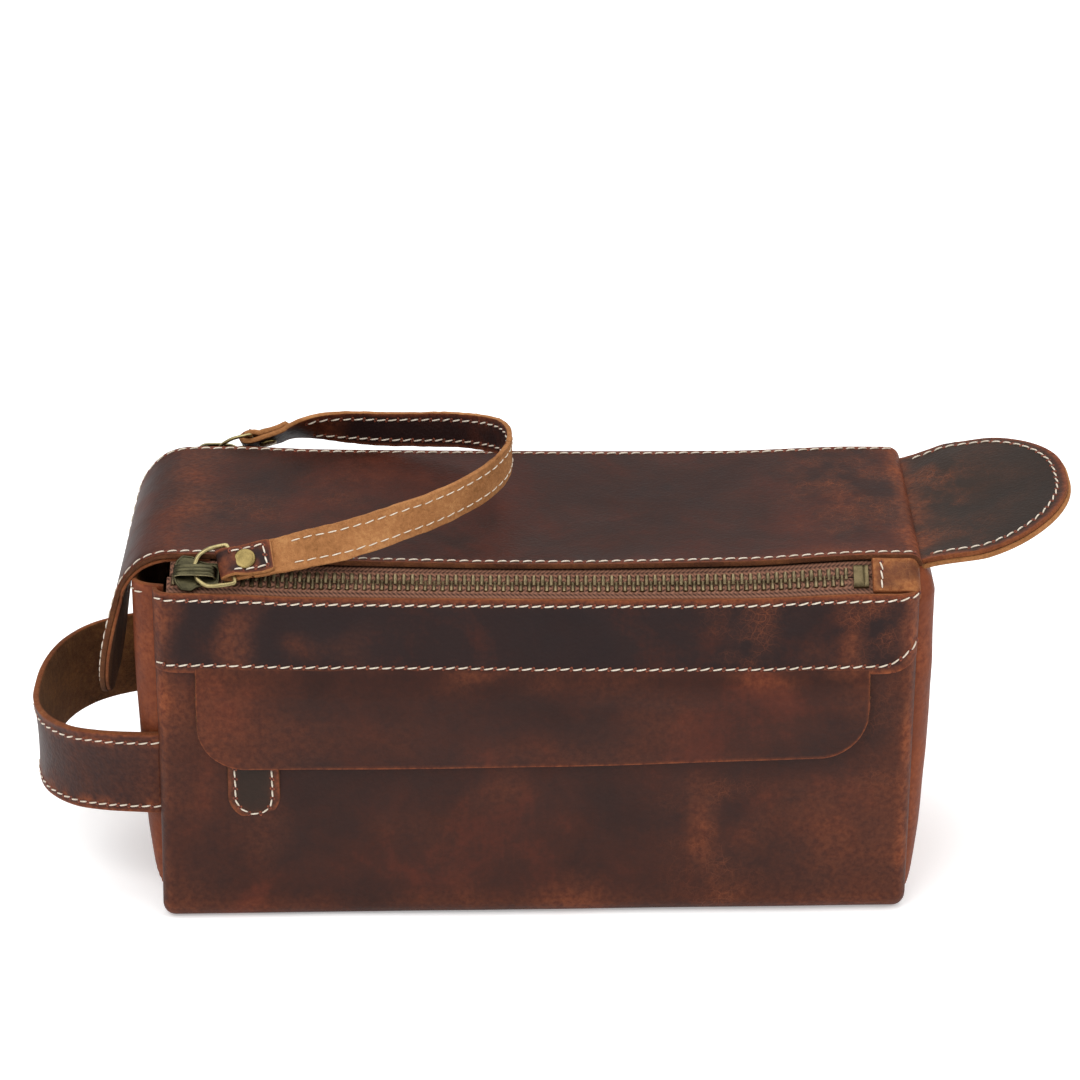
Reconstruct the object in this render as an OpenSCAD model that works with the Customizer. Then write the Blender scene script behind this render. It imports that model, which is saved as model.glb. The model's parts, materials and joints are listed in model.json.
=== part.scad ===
/* [Bag body] */
// Length of the bag between its end seams
bag_len = 267; // [255:1:280]
// Depth of the bag, front to back
bag_depth = 116; // [112:1:124]
// Height of the front and back walls
wall_h = 123.6; // [118:0.2:130]
// Thickness of the leather
leather = 2.2; // [1.8:0.1:2.4]
// Radius of the two long bottom bends
bottom_r = 11; // [8:1:16]
// How far the left end panel swells outwards
left_swell = 7; // [4:0.5:7]
// How far the right end panel swells outwards
right_swell = 5; // [3:0.5:5]

/* [Lid] */
// Width of the lid, front to back
lid_w = 92; // [88:1:94]
// Thickness of the lid leather
lid_t = 2.4; // [2:0.1:2.4]
// Radius of the bend at the lid's left end
lid_bend_r = 10; // [8:0.5:11]
// Angle through which the left end bends down
lid_bend_deg = 77.5; // [70:0.5:82]
// Length of the tongue below the bend
tongue_len = 66; // [55:1:68]
// Corner radius of the tongue
tongue_r = 40; // [30:1:42]
// Place of the lid's fold line along the bag
hinge_x = 118; // [116:1:119]

/* [Zips] */
// Pitch of the teeth on one side
tooth_pitch = 3; // [2.6:0.1:3.4]
// Length of one tooth along the zip
tooth_w = 1.1; // [0.9:0.1:1.2]
// Thickness of the teeth
tooth_t = 2.2; // [1.8:0.1:2.4]
// Length of a slider
slider_len = 15; // [13:0.5:16]
// Place of the closed sliders' centre
slider_x = -117; // [-118:0.5:-115]

/* [Pull strap] */
// Width of the pull strap
strap_w = 12.6; // [11:0.1:13]
// Thickness of the pull strap
strap_t = 2; // [1.6:0.1:2.4]
// Radius of the ring wire
ring_wire_r = 0.7; // [0.6:0.05:0.75]

/* [Side handle] */
// Width of the side handle
handle_w = 31; // [26:1:32]
// Height of the side handle's centre line
handle_z = 51; // [46:1:56]
// How far the handle reaches out from the bag's centre
handle_reach = 182; // [176:1:186]

/* [End tab] */
// Length of the end tab
ear_len = 53; // [45:1:58]
// Width of the end tab
ear_w = 86; // [85:1:90]
// Corner radius of the end tab
ear_r = 40; // [25:1:42]
// Upward tilt of the end tab
ear_tilt = 13; // [8:1:16]

/* [Front pocket] */
// Length of the pocket flap
flap_len = 234; // [220:1:238]
// Depth of the pocket flap below its fold
flap_drop = 32; // [28:1:34]
// Corner radius of the pocket flap
flap_r = 17; // [12:1:20]
// Width of the leather pull of the pocket zip
tab_w = 17.5; // [14:0.5:19]

/* [Hidden] */
$fn = 64;

// Colours
grain = "#4a2c22";
raw_edge = "#a5683a";
suede = "#b07a45";
cloth = "#6b4a36";
brass_old = "#8a7a45";

// Body planes
half_len = bag_len / 2;
half_depth = bag_depth / 2;
shell_x = half_len - 2;
inner_y = half_depth - leather;

// Zip strip: it rises from the wall's inner edge to the lid at a 3-4-5 slope
zip_tilt = atan2(3, 4);
zip_y = half_depth - 2.4;
zip_z = wall_h - 1.2;
chain_u = 6.5;
strip_u = 13;
tape_t = 0.8;
bead_out = 3.9;
bead_in = 2.3;
tooth_reach = 0.4;
body_zip_start = -126;
body_zip_end = 109;
lid_zip_start = slider_x + slider_len / 2 + 0.5;
lid_zip_end = hinge_x - 16;

// Lid planes
lid_low = zip_z + strip_u * sin(zip_tilt) + tape_t;
lid_top = lid_low + lid_t;
lid_mid = lid_low + lid_t / 2;
lid_left = -half_len + 2.5;
fixed_gap = 2;

// Ring and strap route: the ring bar runs under the slider's bridge
bar_n = 5.1;
ring_x = slider_x + 1.2;
ring_y = zip_y - chain_u * cos(zip_tilt) + bar_n * sin(zip_tilt);
ring_z = zip_z + chain_u * sin(zip_tilt) + bar_n * cos(zip_tilt);
ring_out = 12;
near_half = 3;
far_half = 6.6;
tab_start = ring_x + ring_out - 2.4;
tab_end = ring_x + ring_out + 12;
rivet_x = ring_x + ring_out + 6.4;

// Pocket planes, front to back
pocket_z = 80;
pocket_slot_h = 9.6;
pocket_chain_y = -(inner_y - 0.4);
flap_y = -(half_depth + 5.5);
flap_t = 1.8;
flap_z = 92.2;
flap_x = -1;
band_low = 94.4;
pull_x = -99;
post_r = 1.2;
eye_r = 1.27;
link_y = -(half_depth + 1.1);

ear_x = half_len + 3.7;
ear_z = lid_low - 1.6;
ear_t = 2.1;
handle_pivot_x = -half_len - 17.5;

// Placement helpers

// Puts its children in the plane of a zip: x along the bag, y up the strip, z out of it
module zip_plane(side) {
    mirror([0, side == "back" ? 1 : 0, 0])
        translate([0, -zip_y, zip_z]) rotate([zip_tilt, 0, 0]) children();
}

module mirrored(side) {
    mirror([0, side == "back" ? 1 : 0, 0]) children();
}

// A box given by its lowest and highest corners
module span(low, high) {
    translate(low) cube(high - low);
}

function unit(v) = v / norm(v);

// A rectangle from x = 0 to len whose far corners are round
module round_ended(len, width, r) {
    difference() {
        union() {
            translate([-1, -width / 2]) square([len - r + 1, width]);
            translate([-1, -width / 2 + r]) square([len + 1, width - 2 * r]);
            for (s = [-1, 1]) translate([len - r, s * (width / 2 - r)]) circle(r = r);
        }
        translate([-2 * r, -width]) square([2 * r, 2 * width]);
    }
}

// A rectangle, centred in y, with four round corners
module round_rect(x0, x1, width, r) {
    translate([x0 + r, -width / 2]) square([x1 - x0 - 2 * r, width]);
    translate([x0, -width / 2 + r]) square([x1 - x0, width - 2 * r]);
    for (x = [x0 + r, x1 - r], s = [-1, 1]) translate([x, s * (width / 2 - r)]) circle(r = r);
}

// Body

// Outline of the wrap's cross-section, some way in from its outside, up to a height
module wrap_outline(inset, top) {
    w = half_depth - inset;
    translate([-w, bottom_r]) square([2 * w, top - bottom_r]);
    translate([-(half_depth - bottom_r), inset]) square([2 * (half_depth - bottom_r), bottom_r]);
    for (s = [-1, 1]) translate([s * (half_depth - bottom_r), bottom_r]) circle(r = bottom_r - inset);
}

module along_x(x0, x1) {
    translate([x0, 0, 0]) rotate([90, 0, 90]) linear_extrude(x1 - x0) children();
}

// Front wall, bottom and back wall are one wrap of leather, slotted for the pocket zip
module body_shell() {
    color(grain) difference() {
        along_x(-shell_x, shell_x) difference() {
            wrap_outline(0, wall_h);
            wrap_outline(leather, wall_h + 1);
        }
        span([-104, -half_depth - 1, pocket_z - pocket_slot_h / 2],
             [92, -inner_y + 1, pocket_z + pocket_slot_h / 2]);
    }
}

// Plan of an end panel: a band of leather swelling out by the given amount
module swollen_band(swell) {
    r = (inner_y * inner_y + swell * swell) / (2 * swell);
    intersection() {
        translate([swell - r, 0]) difference() {
            circle(r = r, $fn = 180);
            circle(r = r - leather, $fn = 180);
        }
        translate([-leather - 1, -half_depth]) square([swell + leather + 2, bag_depth]);
    }
}

module left_end_panel() {
    color(grain) intersection() {
        translate([-shell_x + 1.5, 0, 0]) linear_extrude(wall_h + 5)
            mirror([1, 0]) swollen_band(left_swell);
        along_x(-half_len - left_swell - 2, -half_len + 10) wrap_outline(leather, wall_h);
    }
}

// The right end panel also closes the bag up to the lid between the two zips
module right_end_panel() {
    color(grain) intersection() {
        translate([shell_x - 1.5, 0, 0]) linear_extrude(lid_top) swollen_band(right_swell);
        along_x(half_len - 10, half_len + right_swell + 1) intersection() {
            wrap_outline(leather, lid_low);
            polygon([
                [-half_depth, 0], [-half_depth, zip_z - 2], [-lid_w / 2 + 1, lid_low],
                [lid_w / 2 - 1, lid_low], [half_depth, zip_z - 2], [half_depth, 0]
            ]);
        }
    }
}

module main_lining() {
    lining_t = 0.8;
    lining_inset = leather + 5.4;
    color(cloth) difference() {
        along_x(-shell_x + 5, shell_x - 5) wrap_outline(lining_inset, wall_h - 9.6);
        along_x(-shell_x + 5 + lining_t, shell_x - 5 - lining_t)
            wrap_outline(lining_inset + lining_t, wall_h);
    }
}

module band(side) {
    color(grain) mirrored(side)
        span([-shell_x + 1, -half_depth - leather, band_low], [shell_x - 1, -half_depth, wall_h]);
}
module front_band() { band("front"); }
module back_band() { band("back"); }

// The right end of the top panel stays sewn to the bag
module lid_hinge_strip() {
    color(grain)
        span([hinge_x + fixed_gap, -lid_w / 2, lid_low], [shell_x + 3, lid_w / 2, lid_top]);
}

// Zips

// Tape sewn inside the wall, bent over into the strip
module body_tape(side) {
    color(cloth) zip_plane(side)
        span([body_zip_start - 1.4, 0, -tape_t / 2], [body_zip_end + 6, chain_u - bead_out, tape_t / 2]);
    color(cloth) mirrored(side)
        span([body_zip_start - 1.4, -inner_y, zip_z - 11], [body_zip_end + 6, -inner_y + tape_t, zip_z - 0.4]);
}
module front_body_tape() { body_tape("front"); }
module back_body_tape() { body_tape("back"); }

// A bead with a row of teeth, pointing up the strip; the other side's row is its mirror
module tooth_row(x0, x1) {
    count = floor((x1 - x0 - tooth_w) / tooth_pitch);
    span([x0, -bead_out, -tooth_t / 2], [x1, -bead_in, tooth_t / 2]);
    for (i = [0:count])
        translate([x0 + i * tooth_pitch, -bead_in, -tooth_t / 2])
            cube([tooth_w, bead_in + tooth_reach, tooth_t]);
}

module body_teeth(side) {
    color(brass_old) zip_plane(side) translate([0, chain_u, 0])
        tooth_row(body_zip_start, body_zip_end);
}
module front_body_teeth() { body_teeth("front"); }
module back_body_teeth() { body_teeth("back"); }

// The lid's teeth stand half a pitch along, in the gaps of the body's teeth
module lid_teeth(side) {
    first = body_zip_start + tooth_pitch * (ceil((lid_zip_start - body_zip_start) / tooth_pitch) + 0.5);
    color(brass_old) zip_plane(side) translate([0, chain_u, 0]) mirror([0, 1, 0])
        tooth_row(first, lid_zip_end);
}
module front_lid_teeth() { lid_teeth("front"); }
module back_lid_teeth() { lid_teeth("back"); }

module lid_tape(side) {
    color(cloth) zip_plane(side)
        span([lid_zip_start, chain_u + bead_out, -tape_t / 2], [lid_zip_end, strip_u, tape_t / 2]);
    color(cloth) mirrored(side)
        span([lid_zip_start, -lid_w / 2 + 0.4, lid_low - tape_t], [lid_zip_end, -lid_w / 2 + 9, lid_low]);
}
module front_lid_tape() { lid_tape("front"); }
module back_lid_tape() { lid_tape("back"); }

// A folded metal stop closes each zip at its right end
module bottom_stop(side) {
    color(brass_old) zip_plane(side) difference() {
        span([body_zip_end + 0.8, chain_u - 3.4, -1.6], [body_zip_end + 5.8, chain_u + 3.4, 1.6]);
        span([body_zip_end, chain_u - 4, -tape_t / 2], [body_zip_end + 6, chain_u - 2.6, tape_t / 2]);
    }
}
module front_bottom_stop() { bottom_stop("front"); }
module back_bottom_stop() { bottom_stop("back"); }

module zip_patch(side) {
    color(grain) zip_plane(side)
        span([body_zip_end + 8.5, 0.6, 0.5], [shell_x, strip_u - 0.4, 0.5 + leather - 0.4]);
}
module front_zip_patch() { zip_patch("front"); }
module back_zip_patch() { zip_patch("back"); }

// Two plates joined by one post; the body's teeth run straight through on one side of it
module zip_slider(side) {
    plate_t = 1.1;
    gap = 1.5;
    low_u = 0.9;
    high_u = 12.1;
    bridge_half = 0.8;
    bridge_n = 6.8;
    color(brass_old) zip_plane(side) translate([slider_x, 0, 0]) {
        for (n = [gap, -gap - plate_t]) difference() {
            span([-slider_len / 2, low_u, n], [slider_len / 2, high_u, n + plate_t]);
            for (s = [-1, 1], u = [low_u, high_u])
                translate([s * slider_len / 2, u, n - 1]) rotate([0, 0, 45])
                    cube([3.4, 3.4, 9], center = true);
        }
        span([-1.5, chain_u + 1, -gap], [1.5, chain_u + 3, gap]);
        for (x = [-4.5, 2.9])
            span([x, chain_u - bridge_half, gap + plate_t], [x + 1.6, chain_u + bridge_half, bridge_n]);
        span([-4.5, chain_u - bridge_half, bridge_n], [4.5, chain_u + bridge_half, bridge_n + 1]);
    }
}
module front_slider() { zip_slider("front"); }
module back_slider() { zip_slider("back"); }

// Lid

// Points on an arc, from one angle to another
function arc(centre, r, from, to, steps) =
    [for (i = [0:steps]) centre + r * [cos(from + (to - from) * i / steps), sin(from + (to - from) * i / steps)]];

// Side view of the lid: flat top with a round hinge end, a bend at its left end, then the tongue
module lid_profile() {
    centre = [lid_left, lid_top - lid_bend_r];
    down = [-cos(lid_bend_deg), -sin(lid_bend_deg)] * tongue_len;
    outer = arc(centre, lid_bend_r, 90, 90 + lid_bend_deg, 12);
    inner = arc(centre, lid_bend_r - lid_t, 90 + lid_bend_deg, 90, 12);
    polygon(concat([[hinge_x, lid_low], [hinge_x, lid_top]], outer,
                   [last(outer) + down, inner[0] + down], inner));
    translate([hinge_x, lid_mid]) circle(r = lid_t / 2);
}

// What is cut off the tongue's corners to make them round
module tongue_corners() {
    translate([lid_left, 0, lid_top - lid_bend_r]) rotate([0, -lid_bend_deg, 0])
        for (s = [-1, 1])
            translate([-tongue_len + tongue_r, s * (lid_w / 2 - tongue_r), 0]) difference() {
                span([-tongue_r - 2, min(0, s * (tongue_r + 2)), 2], [0, max(0, s * (tongue_r + 2)), 12]);
                cylinder(h = 30, r = tongue_r + 0.2, center = true, $fn = 96);
            }
}

// Flat top, a bend at its left end and a round tongue that hangs down
module lid_panel() {
    color(grain) difference() {
        translate([0, lid_w / 2, 0]) rotate([90, 0, 0]) linear_extrude(lid_w) lid_profile();
        tongue_corners();
    }
}

module lid_lining() {
    color(cloth)
        span([lid_left + 2, -lid_w / 2 + 9.6, lid_low - 0.6], [hinge_x - 4, lid_w / 2 - 9.6, lid_low]);
}

// Pull strap, rings and rivets

// Three points that round off the corner at b, coming from a and going to c
function rounded(a, b, c, d) =
    let (p = b + unit(a - b) * d, q = b + unit(c - b) * d) [p, (p + 2 * b + q) / 4, q];

// A closed round wire along points, its section turned from a normal of the loop
module wire_loop(points, r, normal, sides = 10) {
    n = len(points);
    rings = [
        for (i = [0:n - 1])
            let (
                along = unit(points[(i + 1) % n] - points[(i + n - 1) % n]),
                out = unit(normal - along * (normal * along)),
                side = cross(along, out)
            )
            for (k = [0:sides - 1])
                points[i] + r * (cos(360 * k / sides) * out + sin(360 * k / sides) * side)
    ];
    faces = [
        for (i = [0:n - 1], k = [0:sides - 1])
            let (j = (i + 1) % n, l = (k + 1) % sides)
            [i * sides + k, i * sides + l, j * sides + l, j * sides + k]
    ];
    polyhedron(points = rings, faces = faces, convexity = 6);
}

// A D-shaped ring: a short bar under the bridge, two arms and a long bar in the strap's end
module ring(side) {
    far = [ring_x + ring_out, -ring_y, ring_z];
    near = [ring_x, -ring_y, ring_z];
    up = [0, cos(zip_tilt), sin(zip_tilt)];
    corners = [
        near + [0, -near_half, 0], near + [0, near_half, 0],
        far + far_half * up, far - far_half * up
    ];
    loop = [for (i = [0:3]) each rounded(corners[(i + 3) % 4], corners[i], corners[(i + 1) % 4], 1.1)];
    color(brass_old) mirrored(side)
        wire_loop(loop, ring_wire_r, [0, -sin(zip_tilt), cos(zip_tilt)]);
}
module front_ring() { ring("front"); }
module back_ring() { ring("back"); }

// The strap's folded end holds the ring's long bar in a bore
module strap_tab(side) {
    far_t = 4.4;
    color(grain) mirrored(side) translate([0, -ring_y, ring_z]) rotate([zip_tilt, 0, 0]) difference() {
        span([tab_start, -strap_w / 2 + 1.2, -far_t / 2], [tab_end, strap_w / 2 - 1.2, far_t / 2]);
        translate([ring_x + ring_out, 0, 0]) rotate([90, 0, 0])
            cylinder(h = strap_w + 2, r = ring_wire_r + 0.02, center = true);
        translate([rivet_x, 0, 0]) cylinder(h = 9, r = 1.52, center = true);
    }
}
module front_strap_tab() { strap_tab("front"); }
module back_strap_tab() { strap_tab("back"); }

module strap_rivet(side) {
    color(brass_old) mirrored(side) translate([rivet_x, -ring_y, ring_z]) rotate([zip_tilt, 0, 0]) {
        cylinder(h = 4.4, r = 1.5, center = true);
        translate([0, 0, 2.2]) intersection() {
            cylinder(h = 1.3, r = 4);
            translate([0, 0, -5.7]) sphere(r = 7, $fn = 96);
        }
        translate([0, 0, -2.9]) cylinder(h = 0.7, r = 3.4);
    }
}
module front_strap_rivet() { strap_rivet("front"); }
module back_strap_rivet() { strap_rivet("back"); }

// Route of half the strap, from the front tab to the middle of the loop: x, y, z of its
// centre line and the lean of its width from the y axis, in degrees
strap_route = [
    [tab_end + 0.1, -ring_y, ring_z, zip_tilt],
    [-82, -52.5, 133.5, 48],
    [-66, -48.5, 140.4, 72],
    [-48, -42.5, 144.5, 82],
    [-32, -34, 147.6, 86],
    [-19, -22, 149.8, 88],
    [-12, -10, 151, 90],
    [-10, 0, 151.4, 90]
];
function last(list) = list[len(list) - 1];
function spline(a, b, c, d, t) =
    0.5 * ((2 * b) + (c - a) * t + (2 * a - 5 * b + 4 * c - d) * t * t + (3 * b - a - 3 * c + d) * t * t * t);
function at(list, i) = list[max(0, min(len(list) - 1, i))];
strap_steps = 4;
half_route = [
    for (i = [0:len(strap_route) - 2], k = [0:strap_steps - 1])
        spline(at(strap_route, i - 1), at(strap_route, i), at(strap_route, i + 1),
               at(strap_route, i + 2), k / strap_steps),
    last(strap_route)
];
other_half = [
    for (i = [len(half_route) - 2:-1:0])
        [half_route[i][0], -half_route[i][1], half_route[i][2], 180 - half_route[i][3]]
];
full_route = concat(half_route, other_half);

function flat_part(p) = [p[0], p[1], p[2]];
function strap_corners(i) =
    let (
        p = full_route[i],
        end = i == 0 ? 1 : i == len(full_route) - 1 ? -1 : 0,
        chord = flat_part(at(full_route, i + 1)) - flat_part(at(full_route, i - 1)),
        ahead = end == 0 ? unit(chord) : [end, 0, 0],
        lean = p[3],
        raw = [0, cos(lean), sin(lean)],
        wide = unit(raw - ahead * (raw * ahead)),
        thick = cross(ahead, wide)
    )
    [for (k = [[-1, -1], [1, -1], [1, 1], [-1, 1]])
        flat_part(p) + wide * k[0] * (strap_w / 2 - 1.2) + thick * k[1] * strap_t / 2];

module pull_strap() {
    n = len(full_route);
    points = [for (i = [0:n - 1]) each strap_corners(i)];
    sides = [
        for (i = [0:n - 2], k = [0:3])
            [4 * i + k, 4 * i + (k + 1) % 4, 4 * i + 4 + (k + 1) % 4, 4 * i + 4 + k]
    ];
    caps = [[3, 2, 1, 0], [4 * n - 4, 4 * n - 3, 4 * n - 2, 4 * n - 1]];
    color(suede) polyhedron(points = points, faces = concat(sides, caps), convexity = 10);
}

// Side handle

module handle_loop() {
    outer = 28;
    linear_extrude(handle_w) difference() {
        round_rect(-handle_reach, 0, 2 * (half_depth - 5), outer);
        round_rect(-handle_reach + 2.4, -2.4, 2 * (half_depth - 7.4), outer - 2.4);
    }
}

module handle_knuckle(r) {
    translate([handle_pivot_x, 0, handle_z]) rotate([90, 0, 0]) cylinder(h = 2 * half_depth, r = r, center = true);
}

// The part that flexes ends in a round knuckle on each leg
module side_handle() {
    color(grain) intersection() {
        translate([0, 0, handle_z - handle_w / 2]) handle_loop();
        union() {
            handle_knuckle(handle_w / 2);
            span([-handle_reach - 1, -half_depth, handle_z - handle_w / 2],
                 [handle_pivot_x, half_depth, handle_z + handle_w / 2]);
        }
    }
}

// The two ends sewn into the bag's side seams
module handle_anchors() {
    color(grain) difference() {
        intersection() {
            translate([0, 0, handle_z - handle_w / 2]) handle_loop();
            span([handle_pivot_x, -half_depth, handle_z - handle_w / 2],
                 [-shell_x, half_depth, handle_z + handle_w / 2]);
        }
        handle_knuckle(handle_w / 2 + 0.4);
    }
}

// End tab at the right: two layers sewn together, each with half of a round bead at its root

module ear_layer(low, high) {
    translate([ear_x, 0, ear_z]) rotate([0, -ear_tilt, 0]) {
        translate([0, 0, low]) linear_extrude(high - low) round_ended(ear_len, ear_w, ear_r);
        intersection() {
            rotate([90, 0, 0]) cylinder(h = ear_w - 1, r = ear_t - 0.2, center = true);
            span([-3, -ear_w / 2, low], [1, ear_w / 2, high]);
        }
    }
}
module ear_top() {
    color(grain) ear_layer(0, ear_t);
}
module ear_backing() {
    color(suede) ear_layer(-ear_t, 0);
}

// Front pocket

module front_flap() {
    color(grain) translate([flap_x, flap_y, flap_z]) {
        rotate([0, 90, 0]) cylinder(h = flap_len, r = flap_t / 2, center = true);
        rotate([90, 0, 0]) translate([0, 0, -flap_t / 2]) linear_extrude(flap_t)
            rotate([0, 0, -90]) round_ended(flap_drop, flap_len, flap_r);
    }
}

module pocket_zip_tape() {
    color(cloth) difference() {
        span([-110, -inner_y, pocket_z - 11], [98, -inner_y + 0.6, pocket_z + 11]);
        span([-104, -inner_y - 1, pocket_z - 3.6], [92, -inner_y + 1, pocket_z + 3.6]);
    }
}

// The two rows stand just far enough apart for the slider's post
module pocket_zip_teeth() {
    count = 73;
    pitch = 2.6;
    color(brass_old) for (s = [0, 1]) translate([-101, 0, pocket_z]) mirror([0, 0, s]) {
        span([0, pocket_chain_y - 1.1, 2.2], [count * pitch - 1.2, pocket_chain_y + 1.1, 3.6]);
        for (i = [0:count - 1]) translate([i * pitch, pocket_chain_y - 1.1, 0.8]) cube([1.4, 2.2, 1.4]);
    }
}

module pocket_zip_stops() {
    color(brass_old) for (x = [-103.4, 89.2])
        span([x, pocket_chain_y - 1.4, pocket_z - 3.4], [x + 1.8, pocket_chain_y + 1.4, pocket_z + 3.4]);
}

module pocket_bag() {
    wall = 0.5;
    color(cloth) difference() {
        span([-112, -inner_y + 0.7, 30], [100, -inner_y + 5.2, pocket_z + 12]);
        span([-112 + wall, -inner_y + 0.7 + wall, 30 + wall],
             [100 - wall, -inner_y + 5.2 - wall, pocket_z + 12 - wall]);
        span([-105, -inner_y, pocket_z - 4.6], [93, -inner_y + 2, pocket_z + 4.6]);
    }
}

// Small slider with a round post on which the pull swings
module pocket_slider() {
    half = 4.5;
    color(brass_old) translate([pull_x, 0, pocket_z]) {
        for (y = [pocket_chain_y - 2.5, pocket_chain_y + 1.4])
            span([-half, y, -4.2], [half, y + 1.1, 4.2]);
        span([-1.2, pocket_chain_y - 1.4, -0.5], [1.2, pocket_chain_y + 1.4, 0.5]);
        translate([0, pocket_chain_y - 2.4, 0]) rotate([90, 0, 0]) cylinder(h = 2.4, r = post_r);
        translate([0, pocket_chain_y - 4.8, 0]) rotate([90, 0, 0]) cylinder(h = 0.9, r = 2.1);
    }
}

// Flat link: a round eye on the post and a stem in the leather pull
module pocket_pull_link() {
    color(brass_old) translate([pull_x, link_y, pocket_z]) rotate([90, 0, 0]) linear_extrude(0.8) {
        difference() {
            union() {
                circle(r = 3);
                translate([-2.2, -10]) square([4.4, 10]);
            }
            circle(r = eye_r);
        }
    }
}

module pocket_pull_tab() {
    tab_top = -7.5;
    tab_low = -42;
    color(grain) translate([pull_x, link_y, pocket_z]) difference() {
        rotate([90, 0, 0]) translate([0, 0, -0.8]) linear_extrude(2.4)
            translate([0, tab_top]) rotate([0, 0, -90])
            round_ended(tab_top - tab_low, tab_w, tab_w / 2 - 0.2);
        span([-2.2, -0.8, -10], [2.2, 0, tab_top + 1]);
    }
}

body_shell();
left_end_panel();
right_end_panel();
main_lining();
front_band();
back_band();
lid_hinge_strip();
front_body_tape();
back_body_tape();
front_body_teeth();
back_body_teeth();
front_bottom_stop();
back_bottom_stop();
front_zip_patch();
back_zip_patch();
handle_anchors();
pocket_bag();
pocket_zip_tape();
pocket_zip_teeth();
pocket_zip_stops();
lid_panel();
lid_lining();
front_lid_tape();
back_lid_tape();
front_lid_teeth();
back_lid_teeth();
front_slider();
back_slider();
pull_strap();
front_strap_tab();
back_strap_tab();
front_ring();
back_ring();
front_strap_rivet();
back_strap_rivet();
side_handle();
ear_top();
ear_backing();
front_flap();
pocket_slider();
pocket_pull_link();
pocket_pull_tab();
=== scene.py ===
"""Looks of the shaving kit bag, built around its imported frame.

Lengths are in millimetres until a mesh is made. Materials and the studio use metres.
"""
import json
import math

import bpy
import numpy as np
from mathutils import Matrix, Vector, noise


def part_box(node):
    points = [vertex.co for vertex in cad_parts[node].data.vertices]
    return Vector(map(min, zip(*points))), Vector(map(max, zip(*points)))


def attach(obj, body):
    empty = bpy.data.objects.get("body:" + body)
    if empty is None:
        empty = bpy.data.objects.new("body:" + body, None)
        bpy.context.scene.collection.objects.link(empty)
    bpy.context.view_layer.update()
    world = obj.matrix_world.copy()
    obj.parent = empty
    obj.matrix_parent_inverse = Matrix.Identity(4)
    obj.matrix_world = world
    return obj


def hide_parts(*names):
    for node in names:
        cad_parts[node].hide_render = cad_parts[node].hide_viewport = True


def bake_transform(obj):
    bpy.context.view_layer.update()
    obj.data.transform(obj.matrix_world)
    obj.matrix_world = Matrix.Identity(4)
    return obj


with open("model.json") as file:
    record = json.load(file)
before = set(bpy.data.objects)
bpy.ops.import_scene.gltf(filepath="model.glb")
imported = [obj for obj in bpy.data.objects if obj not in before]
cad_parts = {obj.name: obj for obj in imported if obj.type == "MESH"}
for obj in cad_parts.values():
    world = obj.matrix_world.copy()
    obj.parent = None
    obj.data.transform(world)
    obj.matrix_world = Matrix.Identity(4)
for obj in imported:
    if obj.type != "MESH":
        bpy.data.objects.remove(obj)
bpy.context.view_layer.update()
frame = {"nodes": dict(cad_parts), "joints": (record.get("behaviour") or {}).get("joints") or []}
MM = 0.001
rng = np.random.default_rng(7)


def node_box(name):
    low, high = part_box(name)
    return np.array(low) / MM, np.array(high) / MM


# ---------------------------------------------------------------- measures taken from the frame
SHELL_HIGH = node_box("body_shell")[1]
BAND_LOW = node_box("front_band")[0]
LID_HIGH = node_box("lid_panel")[1]
STRIP_LOW, STRIP_HIGH = node_box("lid_hinge_strip")
TEETH_LOW, TEETH_HIGH = node_box("front_body_teeth")
LID_TEETH_LOW = node_box("front_lid_teeth")[0]
FLAP_LOW, FLAP_HIGH = node_box("front_flap")
HANDLE_LOW, HANDLE_HIGH = node_box("side_handle")
SLIDER_LOW, SLIDER_HIGH = node_box("front_slider")
LINING_LOW, LINING_HIGH = node_box("main_lining")
PULL_LOW, PULL_HIGH = node_box("pocket_pull_tab")
JOINTS = {j["name"]: j for j in frame["joints"]}

DEPTH = SHELL_HIGH[1]
WALL_H = SHELL_HIGH[2]
LEATHER = 2.2
BOTTOM_R = 6.5
ROLL_X = SHELL_HIGH[0] - 3.5
ROLL_R = 4.5
ZIP_TILT = math.atan2(3, 4)
ZIP_Y = DEPTH - 2.4
ZIP_Z = WALL_H - 1.2
CHAIN_U = 6.5
TOOTH_PITCH = 3.0
LID_HALF = LID_HIGH[1]
LID_MID = STRIP_LOW[2] + 1.2
SLIDER_X = (SLIDER_LOW[0] + SLIDER_HIGH[0]) / 2
RING_X, RING_Y, RING_Z = SLIDER_X + 1.2, 53.46, 130.38


# ---------------------------------------------------------------- small helpers
def rgb(code):
    """An sRGB hex colour as linear RGBA."""
    parts = [int(code[i : i + 2], 16) / 255 for i in (1, 3, 5)]
    return tuple(p / 12.92 if p <= 0.04045 else ((p + 0.055) / 1.055) ** 2.4 for p in parts) + (1.0,)


def smooth(t):
    t = np.clip(t, 0, 1)
    return t * t * (3 - 2 * t)


def wobble(points, size, seed):
    """Smooth noise between about -1 and 1 at each point, with features of the given size."""
    flat = points.reshape(-1, 3) / size + np.array([seed * 7.31, seed * 3.17, seed * 5.53])
    values = np.array([noise.noise(Vector(p)) for p in flat])
    return values.reshape(points.shape[:-1])


def stack(*parts):
    return np.stack(np.broadcast_arrays(*[np.asarray(p, float) for p in parts]), axis=-1)


def unit(v):
    return v / np.maximum(np.linalg.norm(v, axis=-1, keepdims=True), 1e-12)


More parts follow.
